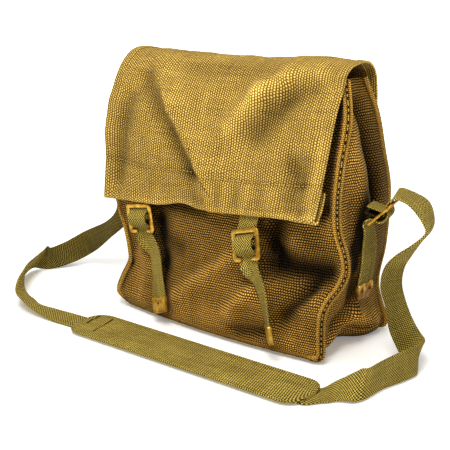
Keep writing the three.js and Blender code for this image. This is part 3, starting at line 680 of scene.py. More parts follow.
def swept(points, across, facing, profiles):
    """A profile carried along a path: ring = point + profile x times the way across + profile y times the way
    the face looks. Rings are joined by quads and closed by a face at each end."""
    rings = points[:, None] + profiles[..., :1] * across[:, None] + profiles[..., 1:] * facing[:, None]
    count, sides = rings.shape[:2]
    index, quads = tube_quads(count, sides)
    girth = running(np.concatenate([profiles[0], profiles[0][:1]]))
    length = running(points)
    u0, u1 = (np.broadcast_to(x, (count - 1, sides)) for x in (girth[:-1], girth[1:]))
    v0, v1 = (np.broadcast_to(x[:, None], (count - 1, sides)) for x in (length[:-1], length[1:]))
    uv = np.stack([np.stack([u0, u1, u1, u0], -1), np.stack([v0, v0, v1, v1], -1)], -1).reshape(-1, 4, 2)
    return rings.reshape(-1, 3), [quads, index[0][None, ::-1], index[-1][None]], uv


def band_profile(width, thickness, steps=10):
    """Outline of webbing: two flat sides and two half-round edges."""
    half, radius = width / 2 - thickness / 2, thickness / 2
    turn = np.linspace(-math.pi / 2, math.pi / 2, 6)
    right = np.stack([half + radius * np.cos(turn), radius * np.sin(turn)], -1)
    flat = np.stack([np.linspace(half, -half, steps)[1:-1], np.full(steps - 2, radius)], -1)
    return np.concatenate([right, flat, -right, -flat])


def band(points, across, width, thickness, squeeze=1.0):
    """Webbing along a centre line, its width times a squeeze at each point; where the way across leans along
    the line, the band keeps its true width."""
    tangent = unit(np.gradient(points, axis=0))
    side = unit(across)
    face = np.cross(tangent, side)
    lean = np.linalg.norm(face, axis=1, keepdims=True)
    profiles = np.tile(band_profile(width, thickness), (len(points), 1, 1))
    profiles[..., 0] *= np.reshape(squeeze, (-1, 1))
    return swept(points, side / lean, face / lean, profiles)


def turned(item):
    """Rotation of a buckle: yaw about Z, then pitch about X, then roll about Y, as a matrix."""
    p, r, y = (math.radians(item[key]) for key in ("pitch", "roll", "yaw"))
    about_x = np.array([[1, 0, 0], [0, math.cos(p), -math.sin(p)], [0, math.sin(p), math.cos(p)]])
    about_y = np.array([[math.cos(r), 0, math.sin(r)], [0, 1, 0], [-math.sin(r), 0, math.cos(r)]])
    about_z = np.array([[math.cos(y), -math.sin(y), 0], [math.sin(y), math.cos(y), 0], [0, 0, 1]])
    return about_z @ about_x @ about_y


def in_buckle(item, points):
    """Points of a buckle's own frame, x along its bar and z up its face, put in place."""
    return np.asarray(points, float) @ turned(item).T + np.array(item["centre"])


def threaded_strap(item, lowest, above=()):
    """A strap from above its buckle, over the middle bar and down to the free end: points and ways across."""
    inside = np.array([(0, -out, up) for out, up in THREADED if up > lowest])
    bar = turned(item)[:, 0]
    tail = np.array(item["tail"], float)
    turn = np.radians(tail[:, 3])
    stations = np.concatenate([np.reshape(above, (-1, 3)), in_buckle(item, inside), tail[:, :3]])
    across = np.concatenate([
        np.tile((1.0, 0, 0), (len(stations) - len(inside) - len(tail), 1)), np.tile(bar, (len(inside), 1)),
        np.stack([np.cos(turn), np.sin(turn), 0 * turn], -1)])
    points = centripetal(stations, stations, SAMPLES["threaded"])
    ways = centripetal(across, stations, SAMPLES["threaded"])
    tangent = unit(np.gradient(points, axis=0))
    return points, unit(ways - (ways * tangent).sum(-1, keepdims=True) * tangent)


def stitches(points, along, normals, length, radius):
    """A row of stitches: at each point a capsule, sin(a) wide at angle a of 0 to pi along it, half sunk."""
    lift = np.linspace(0, math.pi, 6)
    turn = np.linspace(0, 2 * math.pi, 6, endpoint=False)
    shape = np.stack(np.broadcast_arrays(
        -0.5 * length * np.cos(lift)[:, None], radius * np.sin(lift)[:, None] * np.cos(turn),
        radius * np.sin(lift)[:, None] * np.sin(turn)), -1)
    along = unit(along)
    normals = unit(normals - (normals * along).sum(-1, keepdims=True) * along)
    basis = np.stack([along, np.cross(normals, along), normals], 1)
    placed = np.einsum("rtk,skj->srtj", shape, basis) + points[:, None, None]
    rings, sides = shape.shape[:2]
    _, quads = tube_quads(rings, sides)
    each = np.arange(len(points))[:, None, None] * rings * sides
    return placed.reshape(-1, 3), (quads[None] + each).reshape(-1, 4)


def new_piece(name, points, faces, material, uv=None, values=None, stands_for=(), sharp=50):
    """A mesh object in the shared frame from points in millimetres and arrays of faces, riding on the bag."""
    groups = faces if isinstance(faces, list) else [faces]
    corners = [face for group in groups for face in group.tolist()]
    mesh = bpy.data.meshes.new(f"{name}_visual")
    mesh.from_pydata((np.asarray(points) * MM).tolist(), [], corners)
    mesh.shade_smooth()
    mesh.set_sharp_from_angle(angle=math.radians(sharp))
    if uv is not None:
        layer = mesh.uv_layers.new(name="Cloth")
        flat = np.zeros((len(mesh.loops), 2), np.float32)
        flat[:uv.size // 2] = uv.reshape(-1, 2) * MM
        layer.data.foreach_set("uv", flat.ravel())
    for key, value in (values or {}).items():
        attribute = mesh.attributes.new(key, "FLOAT", "POINT")
        attribute.data.foreach_set("value", np.asarray(value, np.float32).ravel())
    mesh.materials.append(material)
    piece = bpy.data.objects.new(f"{name}_visual", mesh)
    bpy.context.scene.collection.objects.link(piece)
    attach(piece, "root")
    if stands_for:
        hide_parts(*stands_for)
    return piece


def new_stitching(name, points, along, normals, material, stitch):
    """A row of stitches as a piece of its own, all of one shade."""
    thread, faces = stitches(points, along, normals, stitch["length"], stitch["radius"])
    shade = {"painted_light_and_tone": np.full(len(thread), stitch["shade"])}
    return new_piece(f"{name}_stitching", thread, faces, material, None, shade)


def add_node(tree, kind, inputs=None, **settings):
    """Adds a node with its settings, and sets or links each input."""
    made = tree.nodes.new(kind)
    for key, value in settings.items():
        setattr(made, key, value)
    for key, value in (inputs or {}).items():
        if isinstance(value, bpy.types.NodeSocket):
            tree.links.new(value, made.inputs[key])
        else:
            made.inputs[key].default_value = value
    return made


def new_material(name):
    """An empty material with its shader and output."""
    material = bpy.data.materials.new(name)
    material.use_nodes = True
    tree = material.node_tree
    tree.nodes.clear()
    shader = add_node(tree, "ShaderNodeBsdfPrincipled")
    add_node(tree, "ShaderNodeOutputMaterial", {"Surface": shader.outputs["BSDF"]})
    return material, tree, shader


def woven_material(name, thread, ratio, colour, gap, beaded):
    """Cotton cloth, woven of thick threads: matt, with a dark gap at each crossing, a painted highlight on
    ridges and painted shade in folds, creases and cast shadows. A plain cloth stands out by
    sin(pi x / thread) times sin(pi y / thread).
    A beaded one, with s = sin(pi y / thread), by s squared times (1 + s sin(2 pi x / thread)) / 2: rows of
    beads, each row half a bead on from the last."""
    material, tree, shader = new_material(name)
    shader.inputs["Roughness"].default_value = 0.92
    shader.inputs["Specular IOR Level"].default_value = 0.18
    shader.inputs["Sheen Weight"].default_value = 0.05
    shader.inputs["Sheen Roughness"].default_value = 0.5
    cloth = add_node(tree, "ShaderNodeUVMap", uv_map="Cloth")
    slub = add_node(tree, "ShaderNodeTexNoise", {
        "Vector": cloth.outputs["UV"], "Scale": 0.25 / thread, "Detail": 2.0}, noise_dimensions="2D")
    wander = add_node(tree, "ShaderNodeMath", {0: slub.outputs["Fac"], 1: 0.9 * thread}, operation="MULTIPLY")
    moved = add_node(tree, "ShaderNodeVectorMath", {
        0: cloth.outputs["UV"], 1: wander.outputs["Value"]}, operation="ADD")
    axes = add_node(tree, "ShaderNodeSeparateXYZ", {"Vector": moved.outputs["Vector"]})
    turns = []
    for axis, pitch in (("X", thread / 2 if beaded else thread), ("Y", thread * ratio)):
        angle = add_node(tree, "ShaderNodeMath", {
            0: axes.outputs[axis], 1: math.pi / pitch}, operation="MULTIPLY")
        turns.append(add_node(tree, "ShaderNodeMath", {0: angle.outputs["Value"]}, operation="SINE"))
    crossing = add_node(tree, "ShaderNodeMath", {
        0: turns[0].outputs["Value"], 1: turns[1].outputs["Value"]}, operation="MULTIPLY")
    if beaded:
        row = add_node(tree, "ShaderNodeMath", {
            0: turns[1].outputs["Value"], 1: turns[1].outputs["Value"]}, operation="MULTIPLY")
        bead = add_node(tree, "ShaderNodeMath", {
            0: crossing.outputs["Value"], 1: 0.5, 2: 0.5}, operation="MULTIPLY_ADD")
        crossing = add_node(tree, "ShaderNodeMath", {
            0: row.outputs["Value"], 1: bead.outputs["Value"]}, operation="MULTIPLY")
    depth = add_node(tree, "ShaderNodeMapRange", {
        "Value": crossing.outputs["Value"], "From Min": 0.0 if beaded else -0.5, "From Max": 0.5,
        "To Min": 0.0, "To Max": 1.0}, interpolation_type="SMOOTHSTEP")
    place = add_node(tree, "ShaderNodeTexCoord")
    stain = add_node(tree, "ShaderNodeTexNoise", {
        "Vector": place.outputs["Object"], "Scale": 1 / (STAIN_SIZE * MM), "Detail": 5.0, "Roughness": 0.62})
    # Painted light: the attribute's steps darken hollows and cast and contact shadows, and lighten ridges and
    # lit edges; stitches carry their own steps in it
    painted_light_and_tone = add_node(tree, "ShaderNodeAttribute", attribute_name="painted_light_and_tone")
    painted_light_factor = add_node(tree, "ShaderNodeMapRange", {
        "Value": painted_light_and_tone.outputs["Fac"], "From Min": DARKEST, "From Max": 12.0, "To Min": 0.08, "To Max": 1.56})
    mottled = add_node(tree, "ShaderNodeMapRange", {
        "Value": stain.outputs["Fac"], "From Min": 0.3, "From Max": 0.7, "To Min": 0.86, "To Max": 1.1})
    shade = add_node(tree, "ShaderNodeMath", {
        0: painted_light_factor.outputs["Result"], 1: mottled.outputs["Result"]}, operation="MULTIPLY")
    fine, long = 1 / (YARN["width"] * MM), 1 / (YARN["length"] * MM)
    for stretch in ((long, fine, 0), (fine, long, 0)):
        drawn = add_node(tree, "ShaderNodeVectorMath", {
            0: cloth.outputs["UV"], 1: stretch}, operation="MULTIPLY")
        yarn = add_node(tree, "ShaderNodeTexNoise", {
            "Vector": drawn.outputs["Vector"], "Scale": 1.0, "Detail": 1.0})
        streak = add_node(tree, "ShaderNodeMapRange", {
            "Value": yarn.outputs["Fac"], "From Min": 0.3, "From Max": 0.7, "To Min": 0.88, "To Max": 1.1})
        shade = add_node(tree, "ShaderNodeMath", {
            0: shade.outputs["Value"], 1: streak.outputs["Result"]}, operation="MULTIPLY")
    tone = add_node(tree, "ShaderNodeMix", {
        "Factor": depth.outputs["Result"], 6: (*gap, 1), 7: (*colour, 1)}, data_type="RGBA")
    shaded = add_node(tree, "ShaderNodeVectorMath", {
        0: tone.outputs[2], "Scale": shade.outputs["Value"]}, operation="SCALE")
    bump = add_node(tree, "ShaderNodeBump", {
        "Height": depth.outputs["Result"], "Distance": (0.2 if beaded else 0.45) * thread, "Strength": 0.7})
    tree.links.new(shaded.outputs["Vector"], shader.inputs["Base Color"])
    tree.links.new(bump.outputs["Normal"], shader.inputs["Normal"])
    return material


def brass_material(settings):
    """Rolled sheet brass, stamped and long in use: warm metal with a brown film in patches and fine
    scratches."""
    material, tree, shader = new_material("Rolled brass, worn")
    shader.inputs["Metallic"].default_value = 0.75
    shader.inputs["Specular IOR Level"].default_value = 0.1
    place = add_node(tree, "ShaderNodeTexCoord")
    film = add_node(tree, "ShaderNodeTexNoise", {
        "Vector": place.outputs["Object"], "Scale": 1 / (FILM_SIZE * MM), "Detail": 4.0, "Roughness": 0.6})
    wear_and_painted_light = add_node(tree, "ShaderNodeMapRange", {
        "Value": film.outputs["Fac"], "From Min": 0.38, "From Max": 0.62, "To Min": 0.0, "To Max": 1.0})
    colour = add_node(tree, "ShaderNodeMix", {
        "Factor": wear_and_painted_light.outputs["Result"], 6: (*settings.tarnish, 1), 7: (*settings.brass, 1)},
        data_type="RGBA")
    # Darker brown where the tips ask for it
    tip_darkening = add_node(tree, "ShaderNodeAttribute", attribute_name="tip_darkening")
    dulled = add_node(tree, "ShaderNodeMix", {
        "Factor": tip_darkening.outputs["Fac"], 6: colour.outputs[2], 7: (*settings.tip_darkening, 1)}, data_type="RGBA")
    rough = add_node(tree, "ShaderNodeMapRange", {
        "Value": film.outputs["Fac"], "From Min": 0.3, "From Max": 0.7,
        "To Min": settings.roughness + 0.16, "To Max": settings.roughness - 0.06})
    scratch = add_node(tree, "ShaderNodeTexNoise", {
        "Vector": place.outputs["Object"], "Scale": 1 / (SCRATCH_SIZE * MM), "Detail": 3.0})
    bump = add_node(tree, "ShaderNodeBump", {
        "Height": scratch.outputs["Fac"], "Distance": SCRATCH_DEPTH * MM, "Strength": 0.5})
    tree.links.new(dulled.outputs[2], shader.inputs["Base Color"])
    tree.links.new(rough.outputs["Result"], shader.inputs["Roughness"])
    tree.links.new(bump.outputs["Normal"], shader.inputs["Normal"])
    return material


def floor_material(glow):
    """Painted board, sprayed matt white: pale and even, lit from within as a light table is, and more so far
    from the bag, where the lamps don't reach."""
    material, tree, shader = new_material("Matt white board")
    place = add_node(tree, "ShaderNodeTexCoord")
    far = add_node(tree, "ShaderNodeVectorMath", {0: place.outputs["Object"]}, operation="LENGTH")
    light = add_node(tree, "ShaderNodeMapRange", {
        "Value": far.outputs["Value"], "From Min": FLOOR["near"], "From Max": FLOOR["far"],
        "To Min": glow, "To Max": FLOOR["far_glow"]})
    shader.inputs["Base Color"].default_value = (*linear("f2f2f0"), 1)
    shader.inputs["Roughness"].default_value = 0.9
    shader.inputs["Emission Color"].default_value = (1, 1, 1, 1)
    tree.links.new(light.outputs["Result"], shader.inputs["Emission Strength"])
    return material


def finish_of(kind):
    """The scene's one material of a kind, made when it is first asked for."""
    cloth = bpy.context.scene.haversack_cloth
    if kind in bpy.data.materials:
        return bpy.data.materials[kind]
    if kind == "Rolled brass, worn":
        return brass_material(bpy.context.scene.haversack_metal)
    thread, fine = cloth.canvas_thread, BINDING["thread"] * cloth.canvas_thread
    woven = {
        "Cotton duck canvas, faded and painted bright": (thread, 1.0, cloth.faded_painted_bright, cloth.faded_painted_bright_gap, True),
        "Cotton duck canvas": (thread, 1.0, cloth.canvas, cloth.canvas_gap, True),
        "Cotton binding": (fine, 1.0, cloth.canvas, cloth.binding_gap, True),
        "Cotton webbing": (cloth.webbing_thread, 0.9, cloth.webbing, cloth.webbing_gap, False),
    }
    return woven_material(kind, *woven[kind])


class HAVERSACK_OT_body(bpy.types.Operator):
    """Build the front, back and gusset of the body as cloth walls"""
    bl_idname = "haversack.body"
    bl_label = "Body"

    def execute(self, context):
        cloth = context.scene.haversack_cloth
        canvas = finish_of("Cotton duck canvas")
        self.panel(cloth, canvas, "front", FRONT_FOLDS + FRONT_CREASES, FRONT_PAINTED_LIGHT, 3)
        self.panel(cloth, canvas, "back", BACK_FOLDS, (), 5)
        self.gusset(cloth, canvas)
        return {"FINISHED"}

    def panel(self, cloth, canvas, wall, folds, painted_light, seed):
        """One wall of the body, short of its seams by an inset that grows into the lower corners, moved out
        along its normals by its folds and puckers. Its grid runs from left to right as seen from outside."""
        down = np.linspace(0, 1, cloth.detail)
        v = mix(above_seam(PANEL_RISE), 1, down)[:, None]
        ends = wall_face(wall, np.array([[0.0, 1.0]]), v)
        low = 1 - ramp(v[:, 0], v[0, 0], above_seam(CORNER))
        inset = PANEL_INSET + (CORNER - PANEL_INSET) * low
        inset = (inset / np.linalg.norm(ends[:, 0] - ends[:, 1], axis=-1))[:, None]
        c = np.linspace(0, 1, cloth.detail)[None]
        across = mix(inset, 1 - inset, c)
        grid = wall_face(wall, across if wall == "front" else 1 - across, v + 0 * c)
        fade = edge_fade(c, PANEL_FADE["folds"]) * ramp(down, 0, PANEL_FADE["foot"])[:, None]
        relief = fade * fold_relief(folds, grid[..., 0], grid[..., 2])
        waves = pucker(grid[..., 0], grid[..., 2], cloth.pucker / MM, seed)
        small = edge_fade(c, PANEL_FADE["waves"]) * waves
        outer = grid + grid_normals(grid) * (relief + small)[..., None]
        points, faces, uv = cloth_wall(outer, cloth.thickness / MM)
        # Painted light: painted shade in the folds' hollows and highlights on their ridges, painted shadows
        # and highlights from the list, and the whole panel evenly darker
        shade = relief + fold_relief(painted_light, grid[..., 0], grid[..., 2]) - PANEL_DARKER
        name, values = f"{wall}_panel", {"painted_light_and_tone": np.tile(shade.ravel(), 2)}
        new_piece(name, points, faces, canvas, uv, values, [name])

    def gusset(self, cloth, canvas):
        """The strip down the left side, round the bottom and up the right side, with rounded corners."""
        side = corner_share()
        c = np.linspace(0, 1, SAMPLES["gusset"])[None]
        t = mix(GUSSET_INSET, 1 - GUSSET_INSET, c)
        zero = 0 * t
        down = np.linspace(1, above_seam(CORNER), SAMPLES["side"])[:, None]
        depth, height = np.broadcast_arrays(t, down)
        along = np.linspace(side, 1 - side, SAMPLES["bottom"])[1:-1, None]
        bend = np.linspace(0, 1, SAMPLES["corner"])[1:-1, None, None]
        left, right = side_face("left", depth, height), side_face("right", depth, height)[::-1]
        first, last = bottom_face(t, zero + side), bottom_face(t, zero + 1 - side)
        bottom = np.concatenate([
            corner_curve(left[-1:], side_face("left", t, zero), first, bend),
            bottom_face(t + 0 * along, along + zero),
            corner_curve(last, side_face("right", t, zero), right[:1], bend)])
        grid = np.concatenate([left, bottom, right])
        y, z = right[..., 1], right[..., 2]
        relief = edge_fade(c, GUSSET_FADE["folds"]) * np.concatenate([
            fold_relief(LEFT_FOLDS, left[..., 1], left[..., 2]), np.zeros(bottom.shape[:2]),
            fold_relief(RIGHT_FOLDS, y, z)])
        waves = pucker(grid[..., 1] + grid[..., 0], grid[..., 2], cloth.pucker / MM, 7)
        small = edge_fade(c, GUSSET_FADE["waves"]) * ramp(grid[..., 2], *GUSSET_FADE["waves_z"]) * waves
        outer = grid + grid_normals(grid) * (relief + small)[..., None]
        points, faces, uv = cloth_wall(outer, cloth.thickness / MM)
        # Painted light on the right side: a painted highlight in front of the strap, painted shade behind it
        # and darker higher up, the listed painted shadows, and a painted contact shadow along the bottom
        low = SIDE_PAINTED_LIGHT["low"] * ramp(z, *SIDE_PAINTED_LIGHT["low_z"])
        behind = mix(low, SIDE_PAINTED_LIGHT["high"], ramp(z, *SIDE_PAINTED_LIGHT["high_z"]))
        before = SIDE_PAINTED_LIGHT["front"] * (1 - ramp(y, *SIDE_PAINTED_LIGHT["front_y"]))
        painted = before + behind * ramp(y, *SIDE_PAINTED_LIGHT["behind_y"])
        painted = painted + fold_relief(RIGHT_PAINTED_LIGHT, y, z)
        under = SIDE_PAINTED_LIGHT["under"] * (1 - ramp(bottom[..., 2], 1, CORNER))
        shade = relief + np.concatenate([np.zeros(left.shape[:2]), under, painted])
        values = {"painted_light_and_tone": np.tile(shade.ravel(), 2)}
        new_piece("gusset", points, faces, canvas, uv, values, ["gusset"])


class HAVERSACK_OT_seams(bpy.types.Operator):
    """Build the double-edged seams between the faces and the gusset"""
    bl_idname = "haversack.seams"
    bl_label = "Seams"

    def execute(self, context):
        self.seam("front", 1, 0)
        self.seam("back", -1, BINDING["back_painted_shade"])
        return {"FINISHED"}

    def spine(self, wall):
        """Middle line of a seam: down the left edge of a wall, along its bottom and up the right edge."""
        side = corner_share()
        down = np.linspace(1, above_seam(CORNER), SAMPLES["seam"])
        along = np.linspace(side, 1 - side, SAMPLES["bottom"])
        bend = np.linspace(0, 1, SAMPLES["seam_corner"])[1:-1, None]
        left, right = wall_face(wall, 0 * down, down), wall_face(wall, 0 * down + 1, down[::-1])
        bottom = wall_face(wall, along, 0 * along)
        corners = wall_face(wall, np.array([0.0, 1.0]), np.zeros(2))
        turn_left = corner_curve(left[-1], corners[0], bottom[0], bend)
        turn_right = corner_curve(bottom[-1], corners[1], right[0], bend)
        return np.concatenate([left, turn_left, bottom, turn_right, right])

    def seam(self, wall, inward, seam_shade):
        """Binding along a seam with its stitches: at angle a its radius is in proportion to waist + bulge
        times |cos a| to a power, which gives a ridge on each side of a groove."""
        canvas = finish_of("Cotton binding")
        name = f"{wall}_piping"
        angle = np.linspace(0, 2 * math.pi, SAMPLES["binding"], endpoint=False)
        radius = BINDING["waist"] + BINDING["bulge"] * np.abs(np.cos(angle)) ** BINDING["power"]
        profile = BINDING["radius"] * np.stack([radius * np.cos(angle), radius * np.sin(angle)], -1)
        spine = self.spine(wall)
        tangent = unit(np.gradient(spine, axis=0))
        into_face = unit(np.cross(tangent, (0, 1, 0)))
        into_side = np.array([0, inward, 0])
        centre = spine + BINDING["seat"] * (into_face + into_side)
        major = unit(into_face - into_side)
        minor = unit(np.cross(tangent, major))
        tucked = 1 - ramp(spine[:, 0], *BINDING["tuck_x"])
        tucked = tucked * (1 - ramp(spine[:, 2], *BINDING["tuck_z"]))
        rings = profile[None] * (1 - BINDING["tuck"] * tucked)[:, None, None]
        points, faces, uv = swept(centre, major, minor, rings)
        # Painted highlight on the ridges, painted shade in the groove, under the bag and along the back seam
        groove = BINDING["groove_shade"] * np.exp(-(np.cos(angle) / BINDING["groove"]) ** 4)
        shade = (BINDING["ridge_shade"] - seam_shade + groove)[None] + BINDING["tuck_shade"] * tucked[:, None]
        new_piece(name, points, faces, canvas, uv, {"painted_light_and_tone": shade}, [name], sharp=80)
        length, margin = running(spine), SEAM_STITCH["margin"]
        every = np.searchsorted(length, np.arange(margin, length[-1] - margin, SEAM_STITCH["pitch"]))
        out = -minor if (minor[10] @ (-into_face[10] - into_side)) < 0 else minor
        raised = centre[every] + SEAM_STITCH["lift"] * out[every]
        new_stitching(name, raised, tangent[every], out[every], canvas, SEAM_STITCH)


def flap_face(u, v):
    """Flap: at each place along its profile a parabola from left to right, with a hump on the crest and the
    front hem lifted where the long crease meets it."""
    p = dict(zip(FLAP_COLUMNS, np.moveaxis(catmull(FLAP_PROFILE, v), -1, 0)))
    x = mix(FLAP_LEFT + FLAP_TAPER["inward"] * ramp(v, *FLAP_TAPER["along"]), FLAP_RIGHT, u)
    y = through(p["left_y"], p["mid_y"], p["right_y"], u)
    z = through(p["left_z"], p["mid_z"], p["right_z"], u)
    crest, hem = ramp(z, *FLAP_HUMP["heights"]), ramp(v, *HEM_WAVE["along"])
    z = z + FLAP_HUMP["rise"] * crest * bell(x, FLAP_HUMP["x"], FLAP_HUMP["half"])
    z = z + HEM_WAVE["rise"] * hem * bell(x, HEM_WAVE["x"], HEM_WAVE["half"])
    return np.stack([x, y, z], -1)


def flap_surface(u, v, waves):
    """The flap's outer face with its folds, its hem's groove and gathers, and its turned side edges: each is
    a height that is added along the normals. It also gives the painted light of the folds, gathers and
    groove."""
    grid = flap_face(u, v)
    x, y, z = np.moveaxis(grid, -1, 0)
    front = ramp(-y, *FLAP_FRONT) * edge_fade(u, FLAP_FADE["folds"])
    relief = front * fold_relief(FLAP_FOLDS + FLAP_CREASES, x, z)
    from_hem = (1 - v) * FLAP_LENGTH
    groove = -HEM_GROOVE["depth"] * bell(from_hem, HEM_HEIGHT, HEM_GROOVE["half"])
    wave = np.sin(2 * math.pi * x / HEM_GATHER["pitch"] + 2 * np.sin(x / HEM_GATHER["sway"]))
    gather = HEM_GATHER["height"] * wave * ramp(x, *HEM_GATHER["x"])
    fade = HEM_GATHER["fade"]
    gather = gather * ramp(from_hem, 0, fade) * ramp(HEM_HEIGHT - from_hem, 0, fade)
    from_side = np.minimum(x - FLAP_LEFT, FLAP_RIGHT - x)
    turned_edge = EDGE_TURN["lift"] * (1 - ramp(from_side, *EDGE_TURN["inward"]))
    small = pucker(x, z + y, waves, 11) * ramp(from_side, 0, FLAP_FADE["waves"])
    normals = -np.cross(np.gradient(grid, axis=0), np.gradient(grid, axis=1))
    lift = relief + groove + gather + turned_edge + small
    # Painted light: painted highlights on ridges, painted shade in hollows, on the gathers and in the hem's
    # groove
    shade = np.where(relief > 0, FLAP_SHADE["ridge"], 1) * relief
    shade = shade + FLAP_SHADE["gather"] * gather + FLAP_SHADE["groove"] * groove
    return grid + unit(normals) * lift[..., None], shade


class HAVERSACK_OT_flap(bpy.types.Operator):
    """Build the flap, its hem folded up inside, with the row of stitches along it"""
    bl_idname = "haversack.flap"
    bl_label = "Flap"

    def execute(self, context):
        cloth = context.scene.haversack_cloth
        canvas = finish_of("Cotton duck canvas, faded and painted bright")
        layer = cloth.thickness / MM
        u = np.linspace(0, 1, cloth.detail)[:, None]
        v = np.linspace(0, 1, int(cloth.detail * 1.2))[None]
        # The second value is the flap's painted light from its folds, gathers and groove
        outer, relief = flap_surface(u + 0 * v, v + 0 * u, cloth.pucker / MM)
        normals = grid_normals(outer)
        end, facing = outer[:, -1:], normals[:, -1:]
        onward = unit(outer[:, -1:] - outer[:, -4:-3])
        radius = (layer + (HEM_GAP + HEM_FLARE * ramp(u, 0.9, 1)) / 2)[..., None]
        turn = np.linspace(0, math.pi, 9)[None, 1:-1, None]
        bend = end - radius * facing + radius * (facing * np.cos(turn) + onward * np.sin(turn))
        up = int(round(v.shape[1] * HEM_HEIGHT / FLAP_LENGTH))
        under = outer[:, -1:-up:-1] - 2 * radius * normals[:, -1:-up:-1]
        whole = np.concatenate([outer, bend, under], axis=1)
        rest = np.zeros((len(outer), whole.shape[1] - outer.shape[1]))
        # Painted highlight on the hem's bend
        rest[:, :bend.shape[1]] = FLAP_SHADE["bend"]
        points, faces, uv = cloth_wall(whole, layer)
        # Painted light on the flap's front, a painted highlight along the hem's lower edge, and the whole
        # flap evenly darker
        wear_and_painted_light = ramp(-outer[..., 1], *FLAP_FRONT) * fold_relief(FLAP_PAINTED_LIGHT, outer[..., 0], outer[..., 2])
        shade = relief + wear_and_painted_light + FLAP_SHADE["edge"] * ramp(v, 0.988, 0.996) - FLAP_DARKER
        values = {"painted_light_and_tone": np.tile(np.concatenate([shade, rest], axis=1).ravel(), 2)}
        flap = new_piece("flap", points, faces, canvas, uv, values, ["flap"])
        row = int(round((1 - HEM_HEIGHT / FLAP_LENGTH) * (v.shape[1] - 1)))
        every = np.linspace(4, len(outer) - 5, HEM_STITCH["count"]).astype(int)
        along = np.gradient(outer[:, row], axis=0)[every]
        spots, upward = outer[every, row], normals[every, row]
        thread = new_stitching("flap", spots, along, upward, canvas, HEM_STITCH)
        return {"FINISHED"}


def swept_wire(points, width, depth, facing):
    """A rounded bar along a line in a plane: profile |x / a| to the power 3 + |y / b| to the power 3 = 1,
    drawn in to round its two ends."""
    tangent = unit(np.gradient(points, axis=0))
    facing = np.broadcast_to(facing, points.shape)
    across = np.cross(facing, tangent)
    angle = np.linspace(0, 2 * math.pi, SAMPLES["wire"], endpoint=False)
    circle = np.stack([np.cos(angle), np.sin(angle)], -1)
    profile = np.array([width, depth]) / 2 * np.sign(circle) * np.abs(circle) ** (2 / 3)
    scale = np.ones(len(points))
    scale[[0, -1]] = 0.7
    return swept(points, across, facing, profile[None] * scale[:, None, None])


def rounded_line(corners, radius, steps=6):
    """A line through corner points, each corner drawn as a quarter curve of that radius."""
    corners = np.asarray(corners, float)
    before, here, after = corners[:-2], corners[1:-1], corners[2:]
    start = here + radius * unit(before - here)
    end = here + radius * unit(after - here)
    t = np.linspace(0, 1, steps)[None, :, None]
    bends = corner_curve(start[:, None], here[:, None], end[:, None], t)
    return np.concatenate([corners[:1], bends.reshape(-1, corners.shape[1]), corners[-1:]])


def joined(parts):
    """Several sets of points, faces and UVs as one, each set's faces counted on from the last."""
    points, quads, ends, uvs, start = [], [], [], [], 0
    for shape, faces, uv in parts:
        points.append(shape)
        quads.append(faces[0] + start)
        ends.extend(face + start for face in faces[1:])
        uvs.append(uv)
        start += len(shape)
    return np.concatenate(points), [np.concatenate(quads), *ends], np.concatenate(uvs)


def build_buckle(name, item, web):
    """A brass frame bent from one bar, open below between two prongs, with a middle bar across it."""
    wide, high = web["frame_width"] / 2 - BAR / 2, web["frame_height"] / 2 - BAR / 2
    gap = web["frame_width"] / 2 - PRONG
    outline = [
        (-gap, 0, -high), (-wide, 0, -high), (-wide, 0, high), (wide, 0, high), (wide, 0, -high),
        (gap, 0, -high)]
    ring = in_buckle(item, rounded_line(outline, FRAME_CORNER))
    bar = in_buckle(item, np.linspace((-wide, 0, 0), (wide, 0, 0), 6))
    facing = -turned(item)[:, 1]
    points, faces, uv = joined([
        swept_wire(ring, BAR_FACE, BRASS_PLATE, facing), swept_wire(bar, BAR, BRASS_PLATE, facing)])
    brass = finish_of("Rolled brass, worn")
    return new_piece(name, points, faces, brass, None, None, [name], sharp=60)


def build_tab(name, item, web):
    """A webbing loop round the middle bar: a half circle with two straight legs back to the cloth, with
    painted shade underneath."""
    bar = turned(item)[:, 0]
    level = unit(np.array([-bar[1], bar[0], 0]))
    rise = math.radians(item["rise"])
    back = level * math.cos(rise) + np.cross(bar, level) * math.sin(rise)
    up = np.cross(bar, back)
    radius = math.hypot(BAR, BRASS_PLATE) / 2 + GAP + CHAPE / 2
    angle = np.linspace(math.pi / 2, 1.5 * math.pi, 15)
    legs = np.linspace(item["reach"], 0.5, 6)
    depth = np.concatenate([legs, radius * np.cos(angle), legs[::-1]])
    height = np.concatenate([0 * legs + radius, radius * np.sin(angle), 0 * legs - radius])
    points = np.array(item["centre"]) + depth[:, None] * back + height[:, None] * up
    shape, faces, uv = band(points, np.tile(bar, (len(points), 1)), web["width"], CHAPE)
    # Painted shade on the lower leg and the underside of the loop
    painted = TAB_PAINTED_SHADE * ramp(-height, -0.6 * radius, 0.4 * radius)
    values = {"painted_light_and_tone": np.repeat(painted, len(shape) // len(points))}
    return new_piece(name, shape, faces, finish_of("Cotton webbing"), uv, values, [name])


